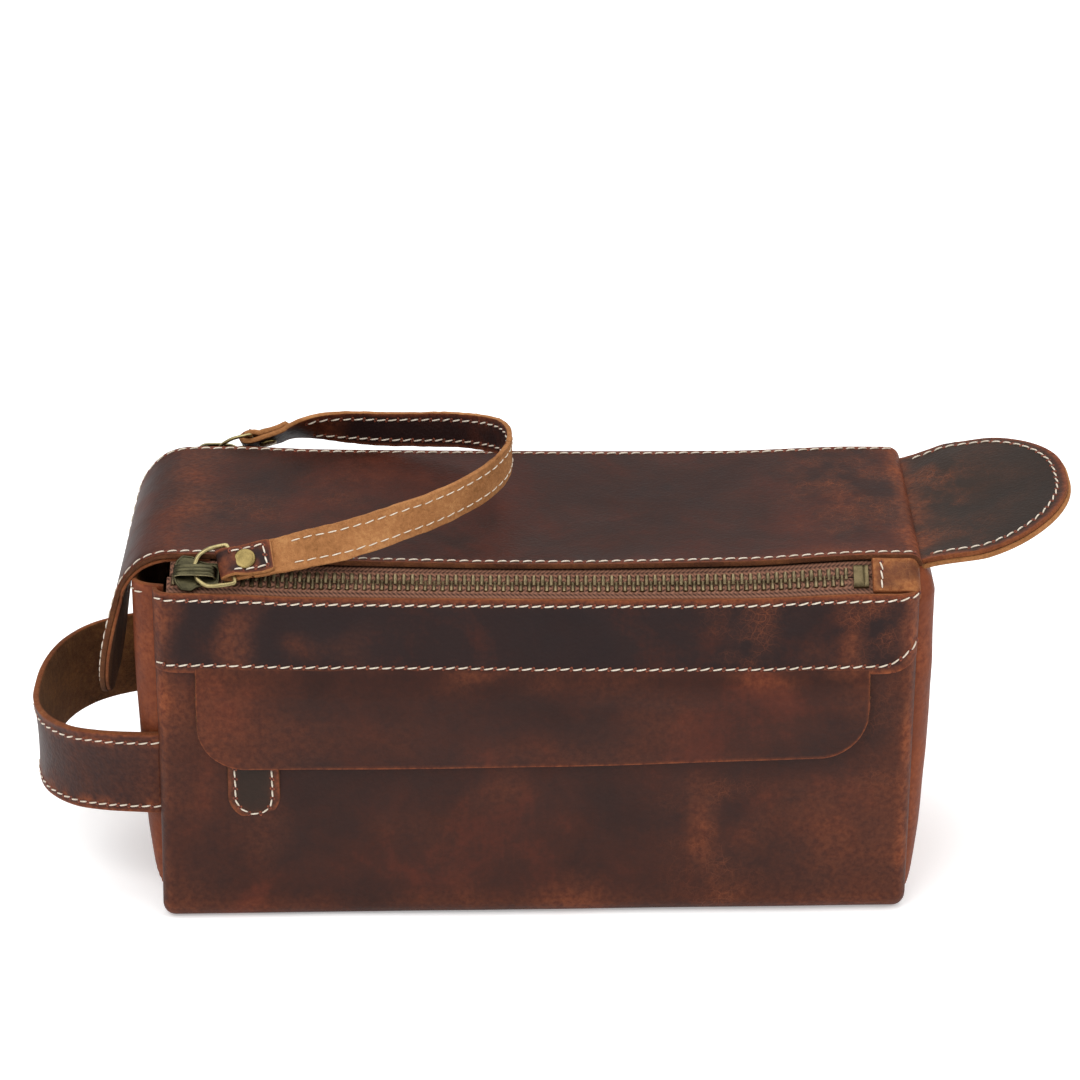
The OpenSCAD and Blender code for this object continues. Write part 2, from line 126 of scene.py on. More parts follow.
def spread(low, high, step, dense=(), near=0.45):
    """Sorted samples from low to high, with extra ones close to both ends and round each dense value."""
    count = max(2, int(round((high - low) / step)) + 1)
    values = list(np.linspace(low, high, count))
    for at in [low, high] + list(dense):
        values += [at + k * near for k in (-3, -1, 0, 1, 3)]
    values = sorted(v for v in values if low <= v <= high)
    kept = [values[0]]
    for v in values[1:]:
        if v - kept[-1] > near * 0.6:
            kept.append(v)
    kept[-1] = high
    return np.array(kept)


def across(half, count, power=1.0):
    """Samples from -half to half, closer together towards both edges."""
    angle = np.linspace(-math.pi / 2, math.pi / 2, count)
    return half * (power * np.sin(angle) + (1 - power) * angle / (math.pi / 2))


# ---------------------------------------------------------------- materials
def add(tree, kind, links=(), **values):
    """Adds a node; links maps an input's name or number to a socket or a value."""
    made = tree.nodes.new(kind)
    for key, value in values.items():
        setattr(made, key, value)
    for key, value in dict(links).items():
        socket = made.inputs[key]
        if isinstance(value, bpy.types.NodeSocket):
            tree.links.new(value, socket)
        else:
            socket.default_value = value
    return made


def math_node(tree, operation, a, b=0.0, clamp=False):
    return add(tree, "ShaderNodeMath", {0: a, 1: b}, operation=operation, use_clamp=clamp).outputs[0]


def mix_colour(tree, factor, a, b, blend="MIX"):
    made = add(tree, "ShaderNodeMix", {0: factor, 6: a, 7: b}, data_type="RGBA", blend_type=blend)
    return made.outputs[2]


def ramp(tree, value, stops):
    made = add(tree, "ShaderNodeValToRGB", {0: value})
    band = made.color_ramp
    while len(band.elements) < len(stops):
        band.elements.new(0.5)
    for element, (place, colour) in zip(band.elements, stops):
        element.position = place
        element.color = rgb(colour) if isinstance(colour, str) else (colour, colour, colour, 1.0)
    return made.outputs[0]


def weighted(tree, first, a, second, b):
    """The sum of two values, each times its share."""
    first = math_node(tree, "MULTIPLY", first, a)
    return math_node(tree, "ADD", first, math_node(tree, "MULTIPLY", second, b))


def place_of(tree, scale=(1, 1, 1), offset=(0, 0, 0), name="rest"):
    """The point's place before any pose, in metres, scaled and shifted."""
    if name == "object":
        source = add(tree, "ShaderNodeTexCoord").outputs["Object"]
    else:
        source = add(tree, "ShaderNodeAttribute", attribute_name=name).outputs["Vector"]
    return add(tree, "ShaderNodeMapping", {0: source, "Location": offset, "Scale": scale}).outputs[0]


def cloud(tree, place, scale, detail=3.0, rough=0.55, twist=0.0):
    links = {"Vector": place, "Scale": scale, "Detail": detail, "Roughness": rough, "Distortion": twist}
    return add(tree, "ShaderNodeTexNoise", links).outputs[0]


def attribute(tree, name):
    return add(tree, "ShaderNodeAttribute", attribute_name=name).outputs["Fac"]


def new_material(name, **values):
    made = bpy.data.materials.new(name)
    made.use_nodes = True
    shader = made.node_tree.nodes["Principled BSDF"]
    for key, value in values.items():
        shader.inputs[key.replace("_", " ")].default_value = value
    return made, made.node_tree, shader


def finish_bump(tree, shader, height, distance, strength=1.0, before=None):
    links = {"Height": height, "Distance": distance, "Strength": strength}
    if before is not None:
        links["Normal"] = before
    normal = add(tree, "ShaderNodeBump", links).outputs[0]
    tree.links.new(normal, shader.inputs["Normal"])
    return normal


def cracks(tree, place, scale, width):
    """A network of fine branching lines: 1 on a line, 0 away from it."""
    links = {"Vector": place, "Scale": scale * 0.7, "Detail": 4.0}
    bent = add(tree, "ShaderNodeTexNoise", links).outputs["Color"]
    bent = add(tree, "ShaderNodeVectorMath", {0: bent, 3: 1.1 / scale}, operation="SCALE").outputs[0]
    moved = add(tree, "ShaderNodeVectorMath", {0: place, 1: bent}).outputs[0]
    links = {"Vector": moved, "Scale": scale}
    away = add(tree, "ShaderNodeTexVoronoi", links, feature="DISTANCE_TO_EDGE").outputs[0]
    return math_node(tree, "SUBTRACT", 1.0, math_node(tree, "DIVIDE", away, width, clamp=True), clamp=True)


def leather_tone(tree, place, offset, shift):
    """The dark and light of the hide: wide clouds, blotches, specks and fine strokes."""
    patches = cloud(tree, place, 17.0, 4.0, 0.6, 0.7)
    blotches = cloud(tree, place, 62.0, 5.0, 0.62, 0.4)
    specks = cloud(tree, place, 520.0, 4.0, 0.6)
    strokes = cloud(tree, place_of(tree, (620, 620, 70), offset), 1.0, 3.0, 0.6)
    tone = weighted(tree, patches, 0.61, blotches, 0.22)
    tone = math_node(tree, "ADD", tone, weighted(tree, specks, 0.12, strokes, 0.05))
    return math_node(tree, "ADD", tone, shift), blotches, specks


def leather_cracks(tree, place, crease):
    """Fine lines in broken groups, where the sheet's crease value asks for them."""
    lines = cracks(tree, place, 230.0, 0.035)
    fine_lines = cracks(tree, place, 540.0, 0.06)
    lines = math_node(tree, "MAXIMUM", lines, math_node(tree, "MULTIPLY", fine_lines, 0.6))
    gaps = ramp(tree, cloud(tree, place, 70.0, 3.0), [(0.4, 0.0), (0.66, 1.0)])
    groups = math_node(tree, "MULTIPLY", gaps, crease, clamp=True)
    return math_node(tree, "MULTIPLY", lines, groups), groups


def leather(name, tones, offset=(0, 0, 0), worn=("#612d1a", "#8e4c2c"), shift=0.0, rough=0.5):
    """Waxed pull-up leather: cloudy dark and red patches, pale where it is folded or rubbed."""
    made, tree, shader = new_material(name, Roughness=rough, Specular_IOR_Level=0.17)
    place = place_of(tree, offset=offset)
    tone, blotches, specks = leather_tone(tree, place, offset, shift)
    cracked, groups = leather_cracks(tree, place, attribute(tree, "crease"))
    wear = weighted(tree, attribute(tree, "wear"), 1.0, groups, 0.28)
    ragged = math_node(tree, "MULTIPLY", math_node(tree, "SUBTRACT", blotches, 0.5), 1.1)
    wear = math_node(tree, "ADD", wear, math_node(tree, "MULTIPLY", ragged, wear), clamp=True)
    worn_colour = ramp(tree, specks, [(0.35, worn[0]), (0.65, worn[1])])
    colour = mix_colour(tree, wear, ramp(tree, tone, tones), worn_colour)
    colour = mix_colour(tree, math_node(tree, "MULTIPLY", cracked, 0.6), colour, rgb(worn[1]))
    tree.links.new(colour, shader.inputs["Base Color"])
    links = {"Vector": place, "Scale": 950.0}
    cells = add(tree, "ShaderNodeTexVoronoi", links, feature="SMOOTH_F1").outputs[0]
    grain = weighted(tree, cells, 0.5, specks, 0.6)
    grain = math_node(tree, "ADD", grain, weighted(tree, blotches, 0.8, cracked, -0.7))
    finish_bump(tree, shader, grain, 0.0004, 0.55)
    gloss = math_node(tree, "ADD", weighted(tree, blotches, 0.32, wear, 0.16), rough - 0.14)
    tree.links.new(gloss, shader.inputs["Roughness"])
    return made


def fuzzy(name, stops, offset=(0, 0, 0), relief=0.0006):
    """The napped flesh side or a cut edge: pale fibres and small pits."""
    made, tree, shader = new_material(name, Roughness=0.95, Specular_IOR_Level=0.15)
    shader.inputs["Sheen Weight"].default_value = 0.12
    shader.inputs["Sheen Tint"].default_value = rgb("#e8b888")
    place = place_of(tree, offset=offset)
    big = cloud(tree, place, 55.0, 4.0, 0.6)
    nap = cloud(tree, place, 640.0, 5.0, 0.7)
    fibre = cloud(tree, place, 1900.0, 3.0, 0.6)
    tone = weighted(tree, big, 0.45, nap, 0.4)
    tone = math_node(tree, "ADD", tone, math_node(tree, "MULTIPLY", fibre, 0.15))
    tree.links.new(ramp(tree, tone, stops), shader.inputs["Base Color"])
    height = math_node(tree, "ADD", nap, math_node(tree, "MULTIPLY", fibre, 0.6))
    finish_bump(tree, shader, height, relief, 0.8)
    return made


def thread_material():
    made, tree, shader = new_material("waxed_thread", Roughness=0.55)
    place = place_of(tree)
    tone = cloud(tree, place, 900.0, 3.0)
    dirt = cloud(tree, place, 40.0, 3.0)
    colour = ramp(tree, tone, [(0.3, "#c9bba6"), (0.7, "#efe7d8")])
    colour = mix_colour(tree, math_node(tree, "MULTIPLY", dirt, 0.35), colour, rgb("#b99a7c"))
    tree.links.new(colour, shader.inputs["Base Color"])
    twist = add(tree, "ShaderNodeTexWave", {"Vector": place, "Scale": 420.0, "Distortion": 1.0}).outputs[1]
    finish_bump(tree, shader, twist, 0.00015, 0.7)
    return made


def plain(name, low, high, rough=0.8, scale=500.0):
    made, tree, shader = new_material(name, Roughness=rough)
    tone = cloud(tree, place_of(tree), scale, 3.0)
    tree.links.new(ramp(tree, tone, [(0.3, low), (0.7, high)]), shader.inputs["Base Color"])
    return made


def woven(name, low, high, threads, herringbone=0.0):
    """Cloth with its weave laid along the sheet's own flat lengths, stored as flat."""
    made, tree, shader = new_material(name, Roughness=0.85, Specular_IOR_Level=0.25)
    flat = add(tree, "ShaderNodeAttribute", attribute_name="flat").outputs["Vector"]
    split = add(tree, "ShaderNodeSeparateXYZ", {0: flat})
    along, over = split.outputs[0], split.outputs[1]
    if herringbone:
        folded = math_node(tree, "PINGPONG", over, herringbone)
        slanted = math_node(tree, "ADD", along, folded)
        warp = math_node(tree, "SINE", math_node(tree, "MULTIPLY", slanted, threads))
        weft = math_node(tree, "SINE", math_node(tree, "MULTIPLY", over, threads * 0.8))
    else:
        warp = math_node(tree, "SINE", math_node(tree, "MULTIPLY", along, threads))
        weft = math_node(tree, "SINE", math_node(tree, "MULTIPLY", over, threads))
    weave = math_node(tree, "MULTIPLY", math_node(tree, "ADD", warp, weft), 0.25)
    weave = math_node(tree, "ADD", weave, 0.5)
    place = place_of(tree)
    mottle = cloud(tree, place, 800.0, 4.0, 0.7)
    tone = weighted(tree, weave, 0.65, mottle, 0.45)
    tree.links.new(ramp(tree, tone, [(0.25, low), (0.8, high)]), shader.inputs["Base Color"])
    finish_bump(tree, shader, tone, 0.0004, 0.8)
    return made


def metal(name, bright, dark, rough=0.33, scale=260.0, patina=0.5, source="rest"):
    """Antique brass: patches of dark patina and brass rubbed bright, mixed by noise."""
    made, tree, shader = new_material(name, Metallic=1.0, Roughness=rough)
    place = place_of(tree, name=source)
    tone = cloud(tree, place, scale, 5.0, 0.65, 0.3)
    fine = cloud(tree, place, 1800.0, 3.0)
    value = weighted(tree, tone, 0.7, fine, 0.3)
    colour = ramp(tree, value, [(patina - 0.18, dark), (patina + 0.14, bright)])
    tree.links.new(colour, shader.inputs["Base Color"])
    gloss = math_node(tree, "ADD", math_node(tree, "MULTIPLY", fine, 0.25), rough - 0.1)
    tree.links.new(gloss, shader.inputs["Roughness"])
    finish_bump(tree, shader, fine, 0.00008, 0.5)
    return made


TONES = [(0.34, "#251410"), (0.46, "#2f1812"), (0.55, "#3a1c13"), (0.63, "#4c2216"), (0.76, "#61301d")]
TOP_TONES = [(0.34, "#21100c"), (0.47, "#2f160e"), (0.56, "#3d1a10"), (0.65, "#4a2012"), (0.78, "#5b2917")]
BAND_TONES = [(0.34, "#1d1010"), (0.5, "#241311"), (0.58, "#351811"), (0.66, "#4c2217"), (0.78, "#64301e")]
DARK_TONES = [(0.34, "#1f1610"), (0.55, "#2a1c14"), (0.75, "#3a2117")]
# Suede tones darkened with painted shade, as the flesh side looks in shade on backs and undersides.
SUEDE_PAINTED_SHADE_STOPS = [(0.36, "#38200f"), (0.52, "#5e3c22"), (0.68, "#85592f")]
EDGE_DARK_STOPS = [(0.34, "#341a10"), (0.52, "#54301c"), (0.7, "#744728")]
WORN_TONES = [(0.34, "#2e170e"), (0.5, "#4a2414"), (0.7, "#6b3a1e")]
EDGE_STOPS = [(0.34, "#502a1b"), (0.52, "#784226"), (0.7, "#945f39")]
M = {
    "grain": leather("leather_front", TONES, (0.31, 0.12, 0.07)),
    "top": leather("leather_top", TOP_TONES, (0.11, 0.42, 0.23)),
    "band": leather("leather_band", BAND_TONES, (0.73, 0.3, 0.61), shift=-0.02),
    "red": leather("leather_side", [(0.3, "#411e12"), (0.5, "#663019"), (0.7, "#824222")], (0.5, 0.9, 0.2)),
    "tan": leather("leather_worn", WORN_TONES, (0.2, 0.7, 0.9), ("#7a4424", "#a0683c")),
    "dark": leather("leather_dark", DARK_TONES, (0.8, 0.1, 0.4), rough=0.44),
    "suede": fuzzy("leather_suede", [(0.36, "#7d522e"), (0.52, "#a06c42"), (0.68, "#bd8a58")]),
    # The suede again, darker with painted shade, for the backs of the lid, tongue, handle, flap and pull
    # tab.
    "suede_painted_shade": fuzzy("leather_suede_painted_shade", SUEDE_PAINTED_SHADE_STOPS, (0.3, 0, 0), 0.0009),
    "edge": fuzzy("leather_cut_edge", EDGE_STOPS, (0.6, 0.2, 0), 0.0008),
    "edge_dark": fuzzy("leather_cut_edge_dark", EDGE_DARK_STOPS, (0.1, 0.2, 0), 0.0006),
    "thread": thread_material(),
    "hole_rim": plain("stitch_hole_rim", "#5f2815", "#8a4226"),
    # The dark middle of each stitch hole is painted shade down inside the hole.
    "hole": plain("stitch_hole", "#1c110e", "#2a1812"),
    "tape": woven("zip_tape_weave", "#38231b", "#8a604c", 4000.0, 0.0022),
    "lining": woven("lining_weave", "#2a1c17", "#4d3529", 5600.0),
    "teeth": metal("zip_brass", "#85765a", "#3f3527", 0.42, 420.0, 0.47),
    "stop": metal("zip_stop_brass", "#75684c", "#453b2a", 0.45, 200.0, 0.45),
    "slider": metal("slider_brass", "#55503a", "#23211a", 0.34, 160.0, 0.5),
    # Brighter brass for the cut edges of the slider's arch: brass rubbed bright there, together with a
    # painted highlight along the edges.
    "rim": metal("slider_rim_rubbed_brass_and_highlight", "#a09673", "#5f583e", 0.34, 160.0, 0.45),
    "ring": metal("ring_brass", "#a3956a", "#6d6040", 0.34, 200.0, 0.42),
    "rivet": metal("rivet_brass", "#8f7d4f", "#5a4c2d", 0.36, 150.0, 0.42),
}
TAPE, LINING, CLAMP = ("tape",) * 3, ("lining",) * 3, ("stop",) * 3
KEPT = {
    "teeth": metal("pocket_zip_brass", "#85765a", "#3f3527", 0.42, 420.0, 0.47, "object"),
    "slider": metal("pocket_slider_brass", "#55503a", "#23211a", 0.34, 160.0, 0.5, "object"),
}


# ---------------------------------------------------------------- meshes
def sag(x):
    """1 at the middle of the bag and 0 near its ends: the soft top sinks a little between them."""
    return np.clip(1 - (x / 120) ** 2, 0, None) ** 1.3


def settle(points):
    """How the filled bag stands: the back of its top is the fullest, its ends a little high."""
    x, y, z = points.T
    back = smooth((y + 40) / 90) * (2.6 + 1.9 * sag(x))
    right = 1.4 * smooth((x - 70) / 45) * (1 - smooth((x - 138) / 20))
    left = 0.8 * smooth((-x - 80) / 30) * (1 - smooth((-x - 136) / 10))
    return points + stack(0 * x, 0 * x, smooth((z - 60) / 60) * (back + right + left))


RAW = {}


def make_mesh(name, points, faces, materials, of_face=None, rest=None, **point_values):
    """A smooth mesh from points in millimetres; its rest place and other values stay on its points."""
    points = np.asarray(points, float)
    RAW[name] = points
    mesh = bpy.data.meshes.new(name)
    mesh.from_pydata((settle(points) * MM).tolist(), [], [list(map(int, f)) for f in faces])
    for key in materials:
        mesh.materials.append(M[key])
    if of_face is not None:
        mesh.polygons.foreach_set("material_index", np.asarray(of_face, np.int32))
    mesh.polygons.foreach_set("use_smooth", np.ones(len(mesh.polygons), bool))
    stored = mesh.attributes.new("rest", "FLOAT_VECTOR", "POINT")
    raw = points if rest is None else rest
    stored.data.foreach_set("vector", (raw * MM).astype(np.float32).ravel())
    for key, values in point_values.items():
        values = np.asarray(values, np.float32)
        if values.ndim == 2:
            stored = mesh.attributes.new(key, "FLOAT_VECTOR", "POINT")
            stored.data.foreach_set("vector", values.ravel())
        else:
            stored = mesh.attributes.new(key, "FLOAT", "POINT")
            stored.data.foreach_set("value", values)
    mesh.update()
    made = bpy.data.objects.new(name, mesh)
    bpy.context.scene.collection.objects.link(made)
    return made


def crisp(obj, degrees=35):
    obj.data.set_sharp_from_angle(angle=math.radians(degrees))
    return obj


def mirrored(obj, name):
    """A copy on the other side of the bag, y turned over and its faces turned back out."""
    mesh = obj.data.copy()
    mesh.name = name
    points = RAW[obj.name] * np.array([1, -1, 1])
    mesh.vertices.foreach_set("co", (settle(points) * MM).astype(np.float32).ravel())
    mesh.flip_normals()
    elsewhere = (points * MM + np.array([0.37, 0, 0.21])).astype(np.float32)
    mesh.attributes["rest"].data.foreach_set("vector", elsewhere.ravel())
    mesh.update()
    made = bpy.data.objects.new(name, mesh)
    bpy.context.scene.collection.objects.link(made)
    return made


def put(obj, body, slot, *replaced):
    """Rides the piece on a body and hides the nodes that it stands for; the slot argument is not used."""
    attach(obj, body)
    if replaced:
        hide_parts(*replaced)
    return obj


def grid_normals(points, loop):
    if loop:
        du = np.roll(points, -1, 0) - np.roll(points, 1, 0)
    else:
        du = np.gradient(points, axis=0)
    dv = np.gradient(points, axis=1)
    return unit(np.cross(du, dv))


class Sheet:
    """A sheet over a grid of two parameters, with a face, a back and rounded cut edges."""

    def __init__(self, us, vs, shape, front, back, ruffles=(), loop=False, flip=False, keep=None):
        self.us, self.vs, self.front, self.back, self.loop = us, vs, front, back, loop
        self.u, self.v = np.meshgrid(us, vs, indexing="ij")
        self.points = shape(self.u, self.v)
        self.flip = flip
        self.set_normals()
        for size, depth, seed in ruffles:
            self.points = self.points + self.normals * (depth * wobble(self.points, size, seed))[..., None]
        self.set_normals()
        rows = len(us) if loop else len(us) - 1
        self.keep = np.ones((rows, len(vs) - 1), bool)
        if keep is not None:
            mid = (vs[:-1] + vs[1:]) / 2
            mid_u = (us[:-1] + us[1:]) / 2
            self.keep = keep(*np.meshgrid(mid_u, mid, indexing="ij"))

    def set_normals(self):
        self.normals = grid_normals(self.points, self.loop) * (-1 if self.flip else 1)

    def at(self, u, v, lift=0.0):
        """Points and normals of the face at parameters u, v, a little above it."""
        u, v = np.broadcast_arrays(np.asarray(u, float), np.asarray(v, float))
        iu = np.clip(np.searchsorted(self.us, u) - 1, 0, len(self.us) - 2)
        iv = np.clip(np.searchsorted(self.vs, v) - 1, 0, len(self.vs) - 2)
        fu = ((u - self.us[iu]) / (self.us[iu + 1] - self.us[iu]))[..., None]
        fv = ((v - self.vs[iv]) / (self.vs[iv + 1] - self.vs[iv]))[..., None]

        def blend(g):
            low = g[iu, iv] * (1 - fu) + g[iu + 1, iv] * fu
            high = g[iu, iv + 1] * (1 - fu) + g[iu + 1, iv + 1] * fu
            return low * (1 - fv) + high * fv

        normal = unit(blend(self.normals))
        return blend(self.points) + normal * (self.front + lift), normal

    def quads(self):
        """The corner numbers of every kept cell, turned so that the face side points outwards."""
        n, m = self.points.shape[:2]
        number = np.arange(n * m).reshape(n, m)
        below = np.roll(number, -1, 0) if self.loop else number[1:]
        top = number if self.loop else number[:-1]
        quads = np.stack([top[:, :-1], below[:, :-1], below[:, 1:], top[:, 1:]], -1)
        quads = quads[self.keep].reshape(-1, 4)
        return quads[:, ::-1] if self.flip else quads

    def border(self, quads):
        """The sheet's open edges and, for every point, the direction away from the sheet."""
        flat, normals = self.points.reshape(-1, 3), self.normals.reshape(-1, 3)
        edges = np.concatenate([quads[:, [k, (k + 1) % 4]] for k in range(4)])
        directed = set(map(tuple, edges.tolist()))
        border = sorted(e for e in directed if (e[1], e[0]) not in directed)
        out = np.zeros_like(flat)
        for a, b in border:
            step = np.cross(unit(flat[b] - flat[a]), normals[a])
            out[a] += step
            out[b] += step
        return border, unit(out)

    def rim_faces(self, border, chosen, rim):
        """The faces of the rounded cut edge, from the face side round to the back."""
        total, count = self.u.size, len(chosen)
        place = {a: k for k, a in enumerate(chosen.tolist())}

        def level(a, k):
            if k == 0:
                return a
            if k == rim:
                return a + total
            return 2 * total + (k - 1) * count + place[a]

        steps = [(a, b, k) for a, b in border for k in range(rim)]
        return [(level(b, k), level(a, k), level(a, k + 1), level(b, k + 1)) for a, b, k in steps]

    def worn(self, chosen, wear, edge_wear):
        """Wear over the face: rubbed along the cut edges, together with the piece's own pattern."""
        flat = self.points.reshape(-1, 3)
        worn = np.zeros(len(flat))
        if len(chosen):
            reach = np.full(len(flat), 1e9)
            for part in np.array_split(chosen, max(1, len(chosen) // 60)):
                away = np.linalg.norm(flat[:, None, :] - flat[part][None], axis=2).min(1)
                reach = np.minimum(reach, away)
            worn = 0.75 * np.exp(-((reach / edge_wear) ** 2))
        if wear is not None:
            worn = np.maximum(worn, np.clip(wear(self.u, self.v, self.points), 0, 1).ravel())
        return worn

    def rim_points(self, chosen, out, rim, bulge):
        """The points of the rounded cut edge between the face and the back."""
        flat = self.points.reshape(-1, 3)[chosen]
        normals = self.normals.reshape(-1, 3)[chosen]
        middle, half = (self.front - self.back) / 2, (self.front + self.back) / 2
        made = []
        for k in range(1, rim):
            angle = math.pi * k / rim
            across_sheet = normals * (middle + half * math.cos(angle))
            made.append(flat + across_sheet + out[chosen] * (half * bulge * math.sin(angle)))
        return made

    def build(self, name, materials, wear=None, crease=None, rim=4, bulge=0.55, edge_wear=1.5):
        """A closed mesh: the face, the back and a rounded rim along every open edge."""
        flat, normals = self.points.reshape(-1, 3), self.normals.reshape(-1, 3)
        quads, total = self.quads(), len(flat)
        border, out = self.border(quads)
        chosen = np.array(sorted({a for e in border for a in e}), int)
        points = [flat + normals * self.front, flat - normals * self.back]
        points = np.concatenate(points + self.rim_points(chosen, out, rim, bulge))
        rounded = self.rim_faces(border, chosen, rim)
        faces = [tuple(q) for q in quads] + [tuple(q[::-1] + total) for q in quads] + rounded
        of_face = [0] * len(quads) + [1] * len(quads) + [2] * len(rounded)
        worn, creased = np.zeros(len(points)), np.zeros(len(points))
        worn[:total] = self.worn(chosen, wear, edge_wear)
        if crease is not None:
            creased[:total] = np.clip(crease(self.u, self.v, self.points), 0, 1).ravel()
        lengths = np.zeros((len(points), 3))
        lengths[:total, 0] = lengths[total : 2 * total, 0] = self.u.ravel() * MM
        lengths[:total, 1] = lengths[total : 2 * total, 1] = self.v.ravel() * MM
        keep = np.zeros(len(points), bool)
        used = np.unique(quads)
        keep[used] = keep[used + total] = True
        keep[2 * total :] = True
        renumber = np.cumsum(keep) - 1
        faces = [tuple(renumber[list(f)]) for f in faces]
        return make_mesh(
            name, points[keep], faces, materials, of_face,
            wear=worn[keep], crease=creased[keep], flat=lengths[keep],
        )


# ---------------------------------------------------------------- stitches
def resample(points, normals, pitch):
    steps = np.linalg.norm(np.diff(points, axis=0), axis=1)
    run = np.concatenate([[0], np.cumsum(steps)])
    count = max(1, int(round(run[-1] / pitch)))
    places = (np.arange(count) + 0.5) * run[-1] / count

    def pick(values, at):
        return np.stack([np.interp(at, run, values[:, k]) for k in range(3)], -1)

    along = unit(pick(points, np.minimum(places + 0.6, run[-1])) - pick(points, np.maximum(places - 0.6, 0)))
    return pick(points, places), along, unit(pick(normals, places)), run[-1] / count


def stitch_template(length, radius):
    """One thread over the leather, round in section, that dips into its hole at each end."""
    along = np.array([-1, -0.95, -0.8, -0.45, 0, 0.45, 0.8, 0.95, 1]) * length / 2
    thick = np.array([0.25, 0.5, 0.8, 1, 1.05, 1, 0.8, 0.5, 0.25]) * radius
    high = np.array([-0.75, -0.35, 0.02, 0.24, 0.3, 0.24, 0.02, -0.35, -0.75]) * radius * 1.7
    angle = np.arange(6) * math.pi / 3
    rings = zip(along, thick, high)
    points = [(a, t * math.cos(w), h + t * math.sin(w)) for a, t, h in rings for w in angle]
    faces = []
    for i in range(len(along) - 1):
        for k in range(6):
            j = (k + 1) % 6
            faces.append((i * 6 + k, (i + 1) * 6 + k, (i + 1) * 6 + j, i * 6 + j))
    last = (len(along) - 1) * 6
    faces.append(tuple(range(6)))
    faces.append(tuple(last + k for k in range(5, -1, -1)))
    return np.array(points), faces


def hole_template():
    """A small bruise round a needle hole: a pale slit with a dark middle, painted shade down in the hole."""
    points, faces = [(0, 0, -0.12)], []
    for ring, (a, b, h) in enumerate(((0.26, 0.5, -0.02), (0.5, 0.95, 0.05), (0.56, 1.02, -0.1))):
        for k in range(10):
            w = 2 * math.pi * k / 10
            points.append((a * math.cos(w), b * math.sin(w), h))
    for k in range(10):
        j = (k + 1) % 10
        faces.append((0, 1 + k, 1 + j))
        for ring in range(2):
            faces.append((1 + ring * 10 + k, 11 + ring * 10 + k, 11 + ring * 10 + j, 1 + ring * 10 + j))
    of_face = []
    for k in range(10):
        of_face += [2, 1, 1]
    return np.array(points), faces, of_face


def stitched(name, runs, pitch=4.4, length=3.6, radius=0.3, slant=10.0, holes=True):
    """All stitches of several seams in one mesh. Each run is (points, normals) in millimetres."""
    thread, thread_faces = stitch_template(length, radius)
    hole, hole_faces, hole_kind = hole_template()
    points, faces, of_face, total = [], [], [], 0
    for line, normals in runs:
        centres, along, up, real_pitch = resample(line, normals, pitch)
        for c, t, n in zip(centres, along, up):
            t = unit(t - n * (t @ n))
            side = np.cross(n, t)
            lean = math.radians(slant + rng.normal(0, 2.0))
            d, s = math.cos(lean) * t + math.sin(lean) * side, math.cos(lean) * side - math.sin(lean) * t
            size = 1 + rng.normal(0, 0.03)
            c = c + side * rng.normal(0, 0.06) + 0.08 * n
            points.append(c + thread[:, :1] * d * size + thread[:, 1:2] * s + thread[:, 2:] * n)
            faces += [tuple(v + total for v in f) for f in thread_faces]
            of_face += [0] * len(thread_faces)
            total += len(thread)
            if holes:
                middle = c + t * real_pitch / 2
                tilt = math.radians(-28 + rng.normal(0, 6))
                a, b = math.cos(tilt) * t + math.sin(tilt) * side, math.cos(tilt) * side - math.sin(tilt) * t
                points.append(middle + hole[:, :1] * a + hole[:, 1:2] * b + (hole[:, 2:] + 0.03) * n)
                faces += [tuple(v + total for v in f) for f in hole_faces]
                of_face += hole_kind
                total += len(hole)
    return make_mesh(name, np.concatenate(points), faces, ("thread", "hole_rim", "hole"), of_face)


def seam(sheet, us, vs, lift=0.0, steps=160):
    """A stitch line on a sheet, through parameter points."""
    us, vs = np.asarray(us, float), np.asarray(vs, float)
    run = np.concatenate([[0], np.cumsum(np.hypot(np.diff(us), np.diff(vs)))])
    at = np.linspace(0, run[-1], steps)
    return sheet.at(np.interp(at, run, us), np.interp(at, run, vs), lift)


# ---------------------------------------------------------------- front, bottom and back in one sheet
FRONT_LEN = WALL_H - BOTTOM_R
ARC_LEN = BOTTOM_R * math.pi / 2
BASE_LEN = 2 * (DEPTH - BOTTOM_R)
WRAP_LEN = 2 * (FRONT_LEN + ARC_LEN) + BASE_LEN


def wrap_section(q):
    """Place and outward direction, in y and z, of the wrap's outside, q along it from the front's top."""
    q1, q2, q3, q4 = FRONT_LEN, FRONT_LEN + ARC_LEN, FRONT_LEN + ARC_LEN + BASE_LEN, WRAP_LEN - FRONT_LEN
    a1 = np.clip((q - q1) / BOTTOM_R, 0, math.pi / 2)
    a2 = np.clip((q - q3) / BOTTOM_R, 0, math.pi / 2)
    turn = a1 + a2
    ny, nz = -np.cos(turn), -np.sin(turn)
    base = np.clip(q - q2, 0, BASE_LEN)
    y = -(DEPTH - BOTTOM_R) + base + BOTTOM_R * ny
    z = BOTTOM_R + np.clip(q1 - q, 0, None) + np.clip(q - q4, 0, None) + BOTTOM_R * nz
    return y, z, ny, nz


def puff(x, q):
    """How far the wall stands out of its plane: it bellies a little and is never quite flat."""
    y, z, ny, _ = wrap_section(q)
    upright = np.abs(ny) ** 3
    belly = 1.3 * np.sin(math.pi * np.clip(z / WALL_H, 0, 1)) ** 0.8 * np.clip(1 - (x / 140) ** 4, 0, 1)
    point = stack(x, 0 * y, z)
    waves = 0.9 * wobble(point, 62.0, 3) + 0.35 * wobble(point, 24.0, 9)
    return upright * (belly + waves * np.clip((WALL_H - z) / 20 + 0.25, 0, 1))


